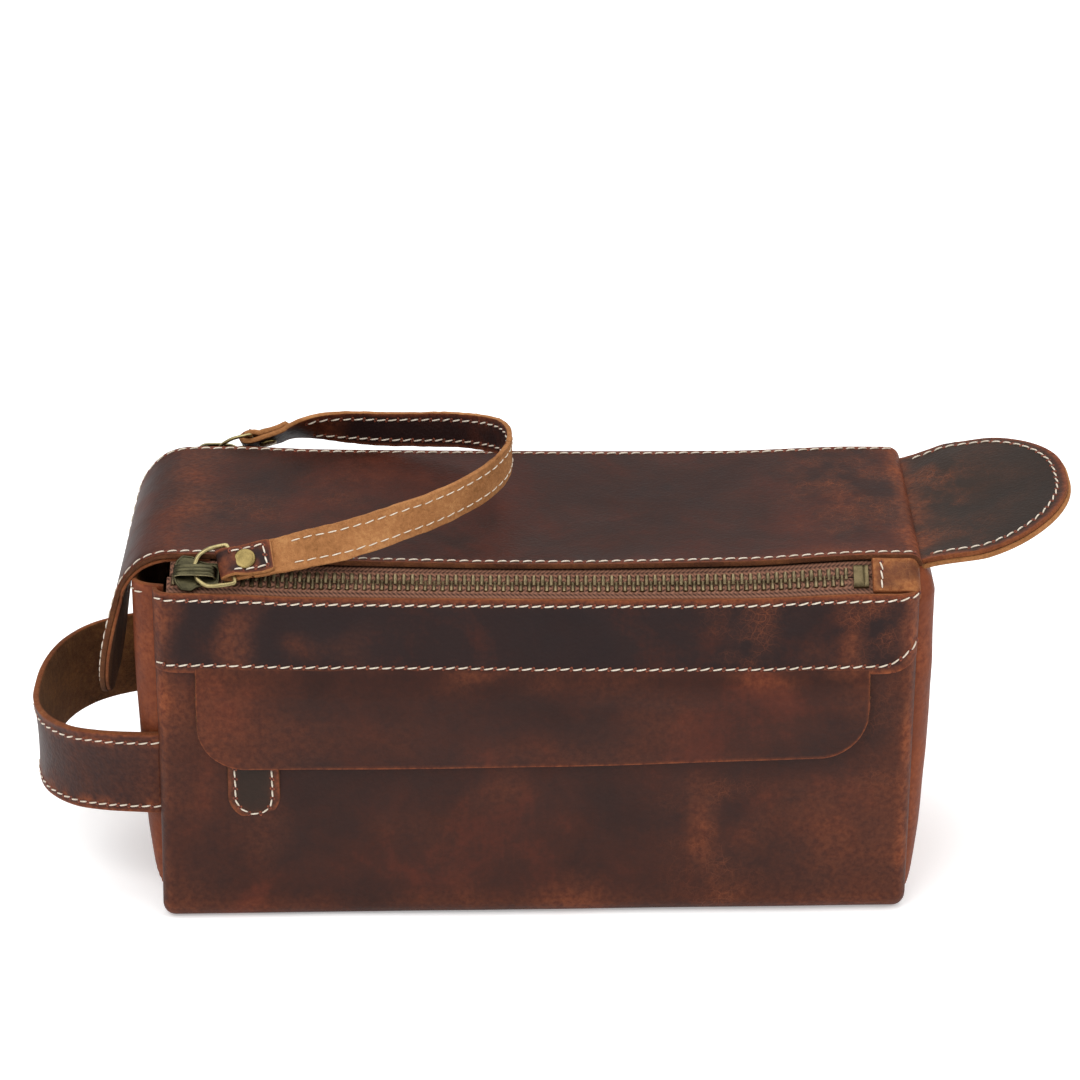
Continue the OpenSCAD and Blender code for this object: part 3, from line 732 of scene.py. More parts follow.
def wall(x, q, lift=0.0):
    """A point on the wrap, x along the bag; beyond ROLL_X the sheet rolls inwards to its end seam."""
    y, z, ny, nz = wrap_section(q)
    turn = np.clip((np.abs(x) - ROLL_X) / ROLL_R, 0, None)
    swell = puff(x, q)
    outward = swell + (ROLL_R + lift) * np.cos(turn) - ROLL_R
    reach = np.where(turn > 0, ROLL_X + (ROLL_R + lift) * np.sin(turn), np.abs(x))
    kick = (4.2 - 4.2 * x / ROLL_X) * np.clip(1 - z / 75, 0, 1) ** 2 * smooth(-y / 30)
    pressed = 0.9 * sag(x) * smooth((z - 60) / 60)
    return stack(np.sign(x) * reach, y + ny * outward - kick, z + nz * outward - pressed)


ROLL_END = ROLL_X + ROLL_R * math.radians(105)
SLOT = (-104.0, 92.0, 75.2, 84.8)


def wall_samples(step):
    inner = spread(-ROLL_X, ROLL_X, step, dense=(SLOT[0], SLOT[1]))
    rolled = np.linspace(ROLL_X, ROLL_END, 10)[1:]
    return np.concatenate([-rolled[::-1], inner, rolled])


def wall_wear(u, v, p):
    """Rubbed pale along both end rolls and the two long bottom bends."""
    ends = 0.75 * np.exp(-(((np.abs(u) - ROLL_X - 2.5) / 3.2) ** 2))
    inside = 0.2 * np.exp(-(((ROLL_X - np.abs(u)) / 9.0) ** 2))
    low = 0.3 * np.exp(-((p[..., 2] - 4) / 5.0) ** 2)
    patchy = 0.55 + 0.9 * wobble(p, 26.0, 5)
    front = (p[..., 1] < 0) * smooth((58 - p[..., 2]) / 8)
    streak = np.exp(-(((u - 62 + 0.12 * p[..., 2]) / 4.5) ** 2)) * smooth((p[..., 2] - 8) / 30)
    streak = streak * (0.35 + 0.35 * wobble(p, 9.0, 15)) * front
    cloudy = 0.22 * smooth(1.5 * wobble(p, 30.0, 25) - 0.2)
    cloudy = cloudy + 0.16 * smooth((u - 72) / 30) * front + 0.3 * np.exp(-(((u + 124) / 15) ** 2)) * patchy
    return np.maximum(np.maximum(ends, inside) * patchy + low * patchy, streak) + cloudy


def wall_crease(u, v, p):
    """Fine cracks round the worn streak and towards the right end of the front."""
    streak = np.exp(-(((u - 64) / 14.0) ** 2)) * smooth((58 - p[..., 2]) / 10)
    return 0.7 * streak + 0.4 * smooth((u - 95) / 20) * smooth((p[..., 2] - 40) / 20)


def build_walls():
    q_slot = (WALL_H - SLOT[3], WALL_H - SLOT[2])
    qs = np.concatenate([
        spread(0.9, FRONT_LEN, 3.2, dense=q_slot),
        FRONT_LEN + np.linspace(0, ARC_LEN, 9)[1:],
        FRONT_LEN + ARC_LEN + np.linspace(0, BASE_LEN, 26)[1:],
        FRONT_LEN + ARC_LEN + BASE_LEN + np.linspace(0, ARC_LEN, 9)[1:],
        WRAP_LEN - FRONT_LEN + spread(0, FRONT_LEN - 0.9, 3.2)[1:],
    ])

    def open_slot(u, v):
        inside = (u > SLOT[0]) & (u < SLOT[1]) & (v > q_slot[0]) & (v < q_slot[1])
        return ~inside

    sheet = Sheet(wall_samples(3.4), qs, wall, 0.0, 1.7, flip=True, keep=open_slot)
    sides = ("grain", "suede", "edge")
    body = sheet.build("wall_wrap", sides, wear=wall_wear, crease=wall_crease, bulge=0.2)
    put(body, "bag", "leather_grain", "body_shell")


BAND_T = 1.6
BAND_Q = WALL_H - BAND_LOW[2]


def band_wear(u, v, p):
    ends = 0.75 * np.exp(-(((np.abs(u) - ROLL_X - 3) / 4.0) ** 2))
    right = 0.5 * np.exp(-(((u - 112) / 14.0) ** 2)) * smooth(0.2 + 1.3 * wobble(p, 12.0, 4))
    left = 0.45 * np.exp(-(((u + 98) / 32.0) ** 2)) * smooth(0.25 + 1.3 * wobble(p, 15.0, 5))
    return ends * (0.7 + 0.7 * wobble(p, 20.0, 6)) + right + left


def band_crease(u, v, p):
    return 1.0 * smooth((u - 45) / 40) * smooth(0.6 + 1.3 * wobble(p, 26.0, 12))


def build_bands():
    def shape(x, v):
        drop = v * BAND_Q
        corner = np.clip((x - (ROLL_X - 7)) / 12, 0, 1)
        drop = np.where(v > 0, drop - corner**2 * 5.0 * v, drop)
        flush = 1 - 0.9 * smooth((np.abs(x) - ROLL_X + 3) / 7)
        return wall(x, drop, BAND_T * flush)

    vs = np.unique(np.round(np.concatenate([spread(0, 1, 0.1, near=0.013), [0.07, 0.88]]), 4))
    sheet = Sheet(wall_samples(3.0), vs, shape, 0.0, BAND_T, ruffles=((9.0, 0.1, 2),), flip=True)
    sides = ("band", "suede", "edge")
    front = sheet.build("front_band_leather", sides, wear=band_wear, crease=band_crease, bulge=0.2)
    x = np.linspace(-ROLL_X - 4.6, ROLL_X + 5, 120)
    rise = smooth((x - ROLL_X + 8) / 14)
    high = seam(sheet, x, 0.075 - 0.04 * rise, steps=400)
    low = seam(sheet, x, 0.9 - 0.14 * rise, steps=400)
    thread = stitched("front_band_stitches", [high, low])
    put(front, "bag", "leather_grain", "front_band")
    put(thread, "bag", "leather_grain")
    put(mirrored(front, "back_band_leather"), "bag", "leather_grain", "back_band")
    put(mirrored(thread, "back_band_stitches"), "bag", "leather_grain")


# ---------------------------------------------------------------- end panels
END_INSET = 4.7


def end_half(z, top_narrow):
    """Half width of an end panel at height z."""
    radius = BOTTOM_R - END_INSET
    low = np.clip(BOTTOM_R - z, 0, radius)
    half = DEPTH - BOTTOM_R + np.sqrt(np.maximum(radius**2 - low**2, 0))
    if top_narrow:
        half = half - np.clip(z - (ZIP_Z - 1.5), 0, None) * 0.92
    return half


def end_panel(side, top, fat, name, node, top_narrow):
    """One end: it swells out past the side seams in a fat roll and is almost flat in its middle."""
    low = END_INSET + 0.02

    def shape(t, z):
        half = end_half(z, top_narrow)
        y = t * half
        edge = np.minimum(half - np.abs(y), z - low)
        rise = np.sqrt(np.clip(1 - (1 - np.clip(edge / 8.5, 0, 1)) ** 2, 0, 1))
        rise = rise * np.interp(z, [0, 15, 30, 60, 95, 122, 127, 131], fat)
        dome = 1.2 * np.sin(math.pi * np.clip(z / WALL_H, 0, 1)) * np.clip(1 - np.abs(t) ** 3, 0, 1)
        point = stack(0 * y, y, z)
        waves = 0.6 * wobble(point, 34.0, 11 + side) + 0.35 * wobble(point, 15.0, 21 + side)
        return stack(side * (SHELL_HIGH[0] - 2.2 + rise + dome + waves * np.clip(edge / 12, 0, 1)), y, z)

    ts = np.unique(np.round(across(1.0, 46, 0.75), 5))
    zs = low + (top - low) * np.unique(np.concatenate([np.linspace(0, 1, 44) ** 1.25, [0.985, 0.995]]))
    sheet = Sheet(ts, zs, shape, 0.0, LEATHER - 0.4, flip=side < 0)

    def wear(u, v, p):
        rubbed = 0.4 * np.exp(-(((1 - np.abs(u)) / 0.1) ** 2)) * (0.8 + wobble(p, 16.0, 8))
        return rubbed + 0.25 * wobble(p, 25.0, 14)

    made = sheet.build(name, ("red", "suede", "edge"), wear=wear, crease=lambda u, v, p: 0.3 + 0 * u)
    put(made, "bag", "leather_grain", node)
    return sheet


def build_ends():
    fat = [5.4, 7.2, 8.8, 10.2, 11.2, 11.6, 11.4, 11.2]
    left = end_panel(-1, WALL_H + 0.4, fat, "left_end_leather", "left_end_panel", False)
    fat = [4.6, 6.0, 7.2, 8.6, 9.6, 9.6, 6.0, 3.2]
    end_panel(1, STRIP_LOW[2] - 0.3, fat, "right_end_leather", "right_end_panel", True)
    runs = [seam(left, [s * 0.97, s * 0.84], [WALL_H - 2.6, WALL_H - 2.6], steps=12) for s in (-1, 1)]
    put(stitched("left_end_stitches", runs, holes=False), "bag", "leather_grain")


# ---------------------------------------------------------------- the top panel
BEND_R = 20.0
BEND_DEG = 77.5
TONGUE_R = 40.0
LID_T = 0.9


def lid_run():
    """The top panel's middle line in x and z from its right end to the tongue's tip, with running length."""
    left = -126.5
    right, small = STRIP_HIGH[0] - 5.2, 4.0
    points = []
    for k in range(9):
        a = math.radians(80 * (1 - k / 8))
        points.append((right + small * math.sin(a), LID_MID - small * (1 - math.cos(a))))
    for x in np.linspace(right, left, 110)[1:]:
        points.append((x, LID_MID))
    for k in range(1, 19):
        a = math.radians(BEND_DEG * k / 18)
        points.append((left - BEND_R * math.sin(a), LID_MID - BEND_R * (1 - math.cos(a))))
    end, a = np.array(points[-1]), math.radians(BEND_DEG)
    tip = np.array([-155.5, 66.0])
    length = np.linalg.norm(tip - end)
    for k in range(1, 37):
        f = k / 36
        curl = 1.6 * math.sin(math.pi * f) - 1.0 * f * f
        direction = (tip - end) / length
        points.append(tuple(end + direction * length * f + curl * np.array([direction[1], -direction[0]])))
    points = np.array(points)
    run = np.concatenate([[0], np.cumsum(np.linalg.norm(np.diff(points, axis=0), axis=1))])
    return points, run


LID_LINE, LID_RUN = lid_run()
LID_LEN = LID_RUN[-1]


def round_end(y, half, radius, length):
    """How far a panel reaches at width y when its two far corners are round."""
    over = np.clip(np.abs(y) - (half - radius), 0, radius)
    return length - radius + np.sqrt(np.maximum(radius**2 - over**2, 0))


def lid_point(y, v):
    """A point of the top panel: y across, v from 0 at the right end to 1 at the end of that line."""
    reach = round_end(y, LID_HALF, TONGUE_R, LID_LEN)
    s = v * reach
    x = np.interp(s, LID_RUN, LID_LINE[:, 0])
    z = np.interp(s, LID_RUN, LID_LINE[:, 1])
    flat = smooth((x + 122) / 25) * smooth((128 - x) / 20)
    sunk = sag(x) * (2.6 + 0.7 * (1 - (y / LID_HALF) ** 2)) * (z > LID_MID - 1)
    point = stack(x, y, z * 0.2)
    inner = 1 - 0.8 * (np.abs(y) / LID_HALF) ** 4
    waves = (0.7 * wobble(point, 70.0, 31) + 0.3 * wobble(point, 24.0, 32)) * inner
    return stack(x, y, z - sunk + waves * (0.2 + 0.8 * flat))


def lid_v(s, y):
    return s / round_end(y, LID_HALF, TONGUE_R, LID_LEN)


def lid_wear(u, v, p):
    bend = 0.3 * np.exp(-(((p[..., 0] + 125) / 10.0) ** 2)) * (0.6 + wobble(p, 18.0, 7))
    right = 0.6 * np.exp(-(((p[..., 0] - 132) / 3.5) ** 2)) * (0.8 + 0.6 * wobble(p, 14.0, 17))
    return np.maximum(bend, right)


def lid_crease(u, v, p):
    return 0.6 * np.exp(-(((p[..., 0] - 118) / 20.0) ** 2)) + 0.45 * smooth(1.6 * wobble(p, 40.0, 19) - 0.1)


def blended(obj, a, b, start, end, slot, *replaced):
    if replaced:
        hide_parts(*replaced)
    tuple(c * MM for c in start)
    tuple(c * MM for c in end)
    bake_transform(obj)
    return obj


def build_lid():
    ys = spread(-LID_HALF, LID_HALF, 3.4, near=0.5)
    fractions = np.concatenate([LID_RUN / LID_LEN, 1 - np.array([0.4, 1.2, 2.4]) / LID_LEN, [1.2 / LID_LEN]])
    sheet = Sheet(ys, np.unique(np.round(fractions, 5)), lid_point, LID_T, LID_T)
    sides = ("top", "suede_painted_shade", "edge_dark")
    top = sheet.build("top_panel_leather", sides, wear=lid_wear, crease=lid_crease,
                      bulge=0.3, edge_wear=1.0)
    start, end = (124.0, 0, LID_MID), (110.0, 0, LID_MID)
    blended(top, "bag", "lid", start, end, "leather_grain", "lid_panel", "lid_hinge_strip")
    inset = 2.1
    half = LID_HALF - inset
    side = np.linspace(4.0, LID_LEN - TONGUE_R, 200)
    ang = np.linspace(0, math.pi / 2, 40)
    round_y = LID_HALF - TONGUE_R + (TONGUE_R - inset) * np.cos(ang)
    round_s = LID_LEN - TONGUE_R + (TONGUE_R - inset) * np.sin(ang)
    s = np.concatenate([side, round_s, round_s[::-1], side[::-1]])
    y = np.concatenate([side * 0 + half, round_y, -round_y[::-1], side * 0 - half])
    line = sheet.at(y, lid_v(s, y))
    thread = stitched("top_panel_stitches", [line])
    blended(thread, "bag", "lid", start, end, "leather_grain")

    def tongue(y, w):
        reach = round_end(y, LID_HALF - 0.3, TONGUE_R, LID_LEN - 0.4)
        s = LID_LEN - 92 + w * (reach - LID_LEN + 92)
        return lid_point(y, lid_v(s, y))

    under = Sheet(ys * (LID_HALF - 0.3) / LID_HALF, np.linspace(0, 1, 60), tongue, -LID_T - 0.1, LID_T + 1.3)
    lining = under.build("tongue_backing", ("suede_painted_shade", "suede_painted_shade", "edge"))
    put(lining, "lid", "leather_suede")
    return sheet


# ---------------------------------------------------------------- zips
def zip_point(x, u, n):
    """A point of the front zip's plane: x along it, u up its slope, n out of it."""
    y = -ZIP_Y + u * math.cos(ZIP_TILT) - n * math.sin(ZIP_TILT)
    sunk = sag(x) * (0.9 + 1.7 * np.clip(u / 13, 0, 1))
    return stack(x, y, ZIP_Z + u * math.sin(ZIP_TILT) + n * math.cos(ZIP_TILT) - sunk)


def zip_map(points):
    return zip_point(points[:, 0], points[:, 1], points[:, 2])


def tape_wave(x, u):
    return 0.22 * wobble(stack(x, u * 2, 0 * x), 16.0, 41)


def body_tape(x, w):
    up = zip_point(x, np.clip(w, 0, None), tape_wave(x, w) * smooth(w / 3))
    inside = stack(x, 0 * x - ZIP_Y + 0.2, ZIP_Z + np.clip(w, None, 0) - 0.9 * sag(x))
    return np.where((w > 0)[..., None], up, inside)


def lid_tape(x, w):
    on_slope = zip_point(x, np.clip(w, None, 12.6), tape_wave(x, w))
    over = np.clip(w - 12.6, 0, None)
    edge = zip_point(x, 12.6 + 0 * w, 0 * w)
    under = edge + stack(0 * x, over, -0.15 * over)
    return np.where((w > 12.6)[..., None], under, on_slope)


TOOTH_STATIONS = ((-3.7, 0.5, 0.6), (-3.5, 0.86, 1.1), (-1.2, 0.86, 1.1), (-0.95, 0.7, 0.9),
                  (0.6, 0.7, 0.95), (0.85, 0.62, 0.8), (0.95, 0.4, 0.5))


def tooth_shape():
    """One tooth in x, u and n round its own middle: a clamped jaw and a narrower head."""
    points, faces, sides = [], [], 8
    for u, half_x, half_n in TOOTH_STATIONS:
        for k in range(sides):
            a = math.pi / 8 + 2 * math.pi * k / sides
            cx, cn = math.cos(a), math.sin(a)
            big = max(abs(cx), abs(cn))
            points.append((half_x * cx / big, u, half_n * cn / big**0.8))
    for i in range(len(TOOTH_STATIONS) - 1):
        for k in range(sides):
            j = (k + 1) % sides
            faces.append((i * sides + k, i * sides + j, (i + 1) * sides + j, (i + 1) * sides + k))
    last = (len(TOOTH_STATIONS) - 1) * sides
    faces.append(tuple(range(sides - 1, -1, -1)))
    faces.append(tuple(last + k for k in range(sides)))
    return np.array(points), [f[::-1] for f in faces]


def tooth_row(name, xs, upward, place):
    """A row of teeth at the given x; place turns their x, u and n into a position."""
    shape, faces = tooth_shape()
    if not upward:
        shape = shape * np.array([1, -1, 1])
        faces = [f[::-1] for f in faces]
    points, all_faces = [], []
    for x in xs:
        all_faces += [tuple(v + len(points) * len(shape) for v in f) for f in faces]
        jitter = rng.normal(0, 0.03, 2)
        points.append(shape + np.array([x, CHAIN_U + jitter[0], jitter[1]]))
    return crisp(make_mesh(name, place(np.concatenate(points)), all_faces, ("teeth",)), 50)


def stop_shape(x, t):
    """A metal clamp folded round the end of the chain, t once round its section."""
    a = t * 2 * math.pi
    cx, sn = np.cos(a), np.sin(a)
    big = np.maximum(np.abs(cx), np.abs(sn)) ** 0.8
    u, n = 4.3 * cx / big, 1.5 * sn / big
    n = n - 0.35 * np.exp(-(((x - TEETH_HIGH[0] - 4.3) / 0.3) ** 2)) * (n > 0)
    return zip_point(x, CHAIN_U + u, n)


PATCH_X = TEETH_HIGH[0] + 7.6


def patch_shape(u, s):
    """The worn leather over the zip's right end, which rolls down into the end seam."""
    flat_len, r = 132.0 - 3.6 - PATCH_X, 3.8
    turn = np.clip((s - flat_len) / r, 0, 2.0)
    x = PATCH_X + np.minimum(s, flat_len) + r * np.sin(turn)
    n = 1.35 - r * (1 - np.cos(turn))
    lines = 0.28 * wobble(stack(s * 0.35, u * 2.2, 0 * s), 4.2, 51)
    lines = lines + 0.25 * wobble(stack(s, u, 0 * s), 9.0, 52)
    return zip_point(x, u, n + lines * smooth(s / 3))


def build_tapes(first, last):
    cloth = TAPE
    ws = np.array([-9, -5, -2, -0.8, 0, 0.4, 1.2, 2.4, 3.6, 4.6, 5.4, 5.9, 6.2])
    lower = Sheet(spread(first - 1.4, last + 8, 2.2, near=0.4), ws, body_tape, 0.4, 0.4)
    ws = np.array([6.8, 7.1, 7.7, 8.6, 9.6, 10.6, 11.6, 12.5, 12.7, 14, 17, 20])
    upper = Sheet(spread(first - 0.5, last + 8, 2.2, near=0.4), ws, lid_tape, 0.4, 0.4)
    lower = lower.build("front_body_tape_weave", cloth, rim=2)
    return lower, upper.build("front_lid_tape_weave", cloth, rim=2)


def build_teeth(first, last):
    """The body's row, the row that opens with the lid and the short row that stays at the right end."""
    split_x = 97.0
    count = int((last - first - 1.1) / TOOTH_PITCH) + 1
    xs = first + 0.75 + TOOTH_PITCH * np.arange(count)
    other = xs + TOOTH_PITCH / 2
    moving = other[(other > LID_TEETH_LOW[0] - 1) & (other < split_x)]
    staying = other[(other >= split_x) & (other < last)]
    return (
        tooth_row("front_body_zip_teeth", xs, True, zip_map),
        tooth_row("front_lid_zip_teeth", moving, False, zip_map),
        tooth_row("front_end_zip_teeth", staying, False, zip_map),
    )


def patch_wear(u, v, p):
    """Rubbed pale, with a few darker spots left in it."""
    return 0.75 - 0.7 * smooth(0.4 + 2 * wobble(stack(u, v * 0.6, 0 * u), 5.0, 3))


def build_patch(last):
    """The clamp on the zip's last teeth and the worn leather patch with its cross seam."""
    clamp_xs = last + 0.8 + np.array([0, 0.15, 1.3, 2.5, 3.0, 3.3, 3.5, 3.7, 4.0, 4.85, 5.0])
    clamp = Sheet(clamp_xs, np.linspace(0, 1, 33), stop_shape, 0.3, 0.3, flip=True)
    clamp = clamp.build("front_zip_end_clamp", CLAMP, rim=3)
    us = spread(0.2, 12.9, 0.7, near=0.4)
    patch = Sheet(us, spread(0, 20.5, 0.8, near=0.4), patch_shape, 0.9, 0.9, flip=True)
    name, sides = "front_zip_patch_leather", ("tan", "suede", "edge")
    leather_patch = patch.build(name, sides, wear=patch_wear, crease=lambda u, v, p: 0.8 + 0 * u)
    across_zip = 2.4 + 0.5 * np.sin(np.linspace(0, 2.6, 9))
    line = seam(patch, np.linspace(1.2, 11.6, 9), across_zip)
    return clamp, leather_patch, stitched("front_zip_patch_stitches", [line], pitch=4.0)


def build_zips():
    first, last = TEETH_LOW[0], TEETH_HIGH[0]
    lower, upper = build_tapes(first, last)
    body_row, lid_row, end_row = build_teeth(first, last)
    stop, patch_leather, thread = build_patch(last)
    start, end = (118.0, 0, LID_MID), (98.0, 0, LID_MID)
    blended(upper, "bag", "lid", start, end, "zip_tape", "front_lid_tape")
    back_upper = mirrored(upper, "back_lid_tape_weave")
    blended(back_upper, "bag", "lid", start, end, "zip_tape", "back_lid_tape")
    for obj, node, body, slot in (
        (lower, "body_tape", "bag", "zip_tape"),
        (body_row, "body_teeth", "bag", "zip_brass"),
        (lid_row, "lid_teeth", "lid", "zip_brass"),
        (end_row, "", "bag", "zip_brass"),
        (stop, "bottom_stop", "bag", "zip_brass"),
        (patch_leather, "zip_patch", "bag", "leather_grain"),
        (thread, "", "bag", "leather_grain"),
    ):
        put(obj, body, slot, *(["front_" + node] if node else []))
        back = mirrored(obj, obj.name.replace("front_", "back_", 1))
        put(back, body, slot, *(["back_" + node] if node else []))


# ---------------------------------------------------------------- sliders
def plate(outline, low, high, bevel=0.28, dish=0.0):
    """A flat plate with softened edges, hollowed a little inside its rim: points in x, u, n and faces."""
    outline = np.asarray(outline, float)
    middle = outline.mean(0)
    count = len(outline)

    def shrunk(inset):
        away = np.linalg.norm(outline - middle, axis=1, keepdims=True)
        return middle + (outline - middle) * (1 - inset / away)

    rings = [(shrunk(bevel), low), (outline, low + bevel), (outline, high - bevel), (shrunk(bevel), high)]
    if dish:
        rings += [(shrunk(bevel + 0.35), high), (shrunk(bevel + 0.6), high - dish)]
    points = np.concatenate([np.column_stack([ring, np.full(count, n)]) for ring, n in rings])
    last = (len(rings) - 1) * count
    faces = [tuple(range(count - 1, -1, -1)), tuple(last + k for k in range(count))]
    for i in range(len(rings) - 1):
        for k in range(count):
            j = (k + 1) % count
            faces.append((i * count + k, i * count + j, (i + 1) * count + j, (i + 1) * count + k))
    return points, faces


def rounded_outline(corners, steps=5, cut=0.35):
    """A closed outline with each corner replaced by a short curve."""
    corners = np.asarray(corners, float)
    made = []
    for i, b in enumerate(corners):
        a, c = corners[i - 1], corners[(i + 1) % len(corners)]
        p, q = b + (a - b) * cut, b + (c - b) * cut
        for t in np.linspace(0, 1, steps):
            made.append((1 - t) ** 2 * p + 2 * t * (1 - t) * b + t * t * q)
    return np.array(made)


def joined(name, parts, place, material):
    points, faces, total = [], [], 0
    for part_points, part_faces in parts:
        points.append(part_points)
        faces += [tuple(v + total for v in f) for f in part_faces]
        total += len(part_points)
    return crisp(make_mesh(name, place(np.concatenate(points)), faces, (material,)), 40)


def bridge_shape(w, s):
    """The slider's arch: w across it, s from its left foot to its right foot."""
    x = np.interp(s, [0, 0.1, 0.2, 0.8, 0.92, 1], [-7.7, -7.4, -6.2, 4.6, 6.2, 6.5])
    heights = [2.8, 3.9, 4.8, 5.3, 5.4, 5.1, 4.4, 3.4, 2.2]
    n = np.interp(s, [0, 0.06, 0.14, 0.24, 0.5, 0.74, 0.86, 0.94, 1], heights)
    grooves = 0.35 * (np.exp(-(((w - 0.75) / 0.22) ** 2)) + np.exp(-(((w + 0.75) / 0.22) ** 2)))
    return zip_point(SLIDER_X + x, CHAIN_U + w, n - grooves - 0.08 * w * w)


def slider_parts():
    shield = [(-7.6, -1.7), (-6.7, -4.2), (-5.0, -6.3), (-1.6, -6.5), (0.2, -5.0), (3.0, -4.1), (7.3, -3.9),
              (7.3, 3.9), (3.0, 4.1), (0.2, 5.0), (-1.6, 6.5), (-5.0, 6.3), (-6.7, 4.2), (-7.6, 1.7)]
    outline = rounded_outline(shield, cut=0.22) * 1.07 + np.array([SLIDER_X, CHAIN_U])
    top, top_faces = plate(outline, 1.5, 2.6, 0.25, 0.25)
    top[:, 2] += 1.3 * smooth((SLIDER_X - 1 - top[:, 0]) / 6.5)
    parts = [(top, top_faces), plate(outline, -2.7, -1.5)]
    for side in (-1, 1):
        flange = [(-6.2, side * 4.9), (-0.6, side * 4.9), (1.4, side * 3.6), (7.0, side * 3.1),
                  (7.0, side * 3.45), (1.4, side * 4.0), (-0.4, side * 5.3), (-6.2, side * 5.3)]
        flange = np.array(flange)[:: side] + np.array([SLIDER_X, CHAIN_U])
        parts.append(plate(flange, 0.95, 1.7, 0.08))
        parts.append(plate(flange, -1.7, -0.95, 0.08))
    post = rounded_outline([(-6.6, -0.9), (-2.6, -0.7), (-2.2, 0), (-2.6, 0.7), (-6.6, 0.9)])
    parts.append(plate(post + np.array([SLIDER_X, CHAIN_U]), -1.7, 1.7, 0.1))
    return parts


def build_sliders():
    body = joined("front_slider_plates", slider_parts(), zip_map, "slider")
    across_w = np.array([1.15, 1.0, 0.9, 0.75, 0.6, 0.45, 0.2])
    across_w = np.concatenate([[-2.0, -1.9, -1.5], -across_w, [0], across_w[::-1], [1.5, 1.9, 2.0]])
    arch = Sheet(across_w, np.linspace(0, 1, 40), bridge_shape, 0.45, 0.45, flip=True)
    # The arch's cut edges take the brighter rim brass: rubbed brass and a painted highlight.
    arch = arch.build("front_slider_bridge", ("slider", "slider", "rim"), rim=3)
    for obj in (body, arch):
        nodes = ["front_slider"] if obj is body else []
        put(obj, "front_slider", "old_brass", *nodes)
        back = mirrored(obj, obj.name.replace("front_", "back_", 1))
        put(back, "back_slider", "old_brass", *[n.replace("front", "back") for n in nodes])


# ---------------------------------------------------------------- rings, pull strap and rivets
def ring_frame(y_side, turn, rise):
    """Centre, reach, width and outward directions of the ring at the front, -1, or back, 1."""
    up = np.array([0, -y_side * math.cos(ZIP_TILT), math.sin(ZIP_TILT)])
    out = np.array([0, y_side * math.sin(ZIP_TILT), math.cos(ZIP_TILT)])
    ahead = unit(np.array([math.cos(turn), 0, 0]) + math.sin(turn) * up + math.tan(rise) * out)
    wide = unit(up - ahead * (up @ ahead))
    centre = np.array([RING_X - 1.6, y_side * RING_Y, RING_Z]) - out * 0.6
    return centre, ahead, wide, unit(out - ahead * (out @ ahead) - wide * (out @ wide))


FRONT_RING = ring_frame(-1, math.radians(13), 0.0)
BACK_RING = ring_frame(1, math.radians(4), math.radians(11))
RING_REACH = 12.4


def between(a, b, c, d, steps):
    """Points on a smooth curve from b towards c, where a and d are the points on either side."""
    square, cube = 2 * a - 5 * b + 4 * c - d, 3 * b - a - 3 * c + d
    stations = np.arange(steps) / steps
    return [0.5 * (2 * b + (c - a) * t + square * t * t + cube * t**3) for t in stations]


def closed_curve(points, steps=8):
    points = np.asarray(points, float)
    made = []
    for before, here, after, beyond in zip(*(np.roll(points, k, 0) for k in (1, 0, -1, -2))):
        made += between(before, here, after, beyond, steps)
    return np.array(made)


def open_curve(points, steps=8):
    points = np.asarray(points, float)
    padded = np.concatenate([2 * points[:1] - points[1:2], points, 2 * points[-1:] - points[-2:-1]])
    made = []
    for i in range(1, len(padded) - 2):
        made += between(*padded[i - 1 : i + 3], steps)
    return np.array(made + [points[-1]])


def wire(name, path, radius, flat_dir, material, squash=0.8, sides=12):
    """A closed wire along a path, a little flattened along flat_dir."""
    ahead = unit(np.roll(path, -1, 0) - np.roll(path, 1, 0))
    a = unit(flat_dir - ahead * (ahead @ flat_dir)[:, None])
    b = np.cross(ahead, a)
    angle = np.arange(sides) * 2 * math.pi / sides
    ring = np.cos(angle)[None, :, None] * a[:, None] * squash + np.sin(angle)[None, :, None] * b[:, None]
    points = (path[:, None] + radius * ring).reshape(-1, 3)
    faces, n = [], len(path)
    for i in range(n):
        for k in range(sides):
            j, l = (i + 1) % n, (k + 1) % sides
            faces.append((i * sides + k, i * sides + l, j * sides + l, j * sides + k))
    return make_mesh(name, points, faces, (material,))


def ring_path(ring):
    """A D-shaped ring: narrow where it passes through the slider, straight where the strap is folded on."""
    centre, ahead, wide, out = ring
    half = [(0, -2.0), (0.7, -3.9), (2.6, -6.2), (6.0, -7.4), (10.6, -7.7), (12.4, -7.2), (12.5, -4.0)]
    whole = half + [(a, -b) for a, b in half[::-1]]
    low = [1.0 * (1 - smooth(a / 6.5)) for a, b in whole]
    return closed_curve([centre + a * ahead + b * wide - n * out for (a, b), n in zip(whole, low)])


def strap_start(ring, lean):
    """The strap's first route points, under the ring's bar and on along the ring's own direction."""
    centre, ahead, _, out = ring
    stations = ((0, -1.7, 0), (2.5, -1.5, 0), (5, -1.2, 0), (10, -0.7, 1), (15, 0.2, 3))
    return [(*(centre + (RING_REACH + a) * ahead + b * out), lean + c) for a, b, c in stations]


FRONT_ROUTE = [
    (-81, -48.9, 136.6, 52), (-74, -48.9, 138.4, 61), (-66, -48.3, 140.2, 70), (-56, -46, 142.6, 78),
    (-46, -42, 144.8, 83), (-36, -37, 146.6, 86), (-26, -29.5, 148.3, 88), (-17, -20, 149.9, 89),
    (-11.5, -10, 151, 90), (-9.5, 0, 151.4, 90),
]
BACK_ROUTE = [
    (-80, 52.3, 138.4, 118), (-72, 51, 138.6, 104), (-63, 48.5, 139, 96), (-53, 45.2, 139.8, 92),
    (-42, 41, 141.4, 90), (-31, 35.5, 143.6, 90), (-21, 28, 146, 90), (-14, 19, 148.6, 90),
    (-10.5, 9.5, 150.6, 90),
]


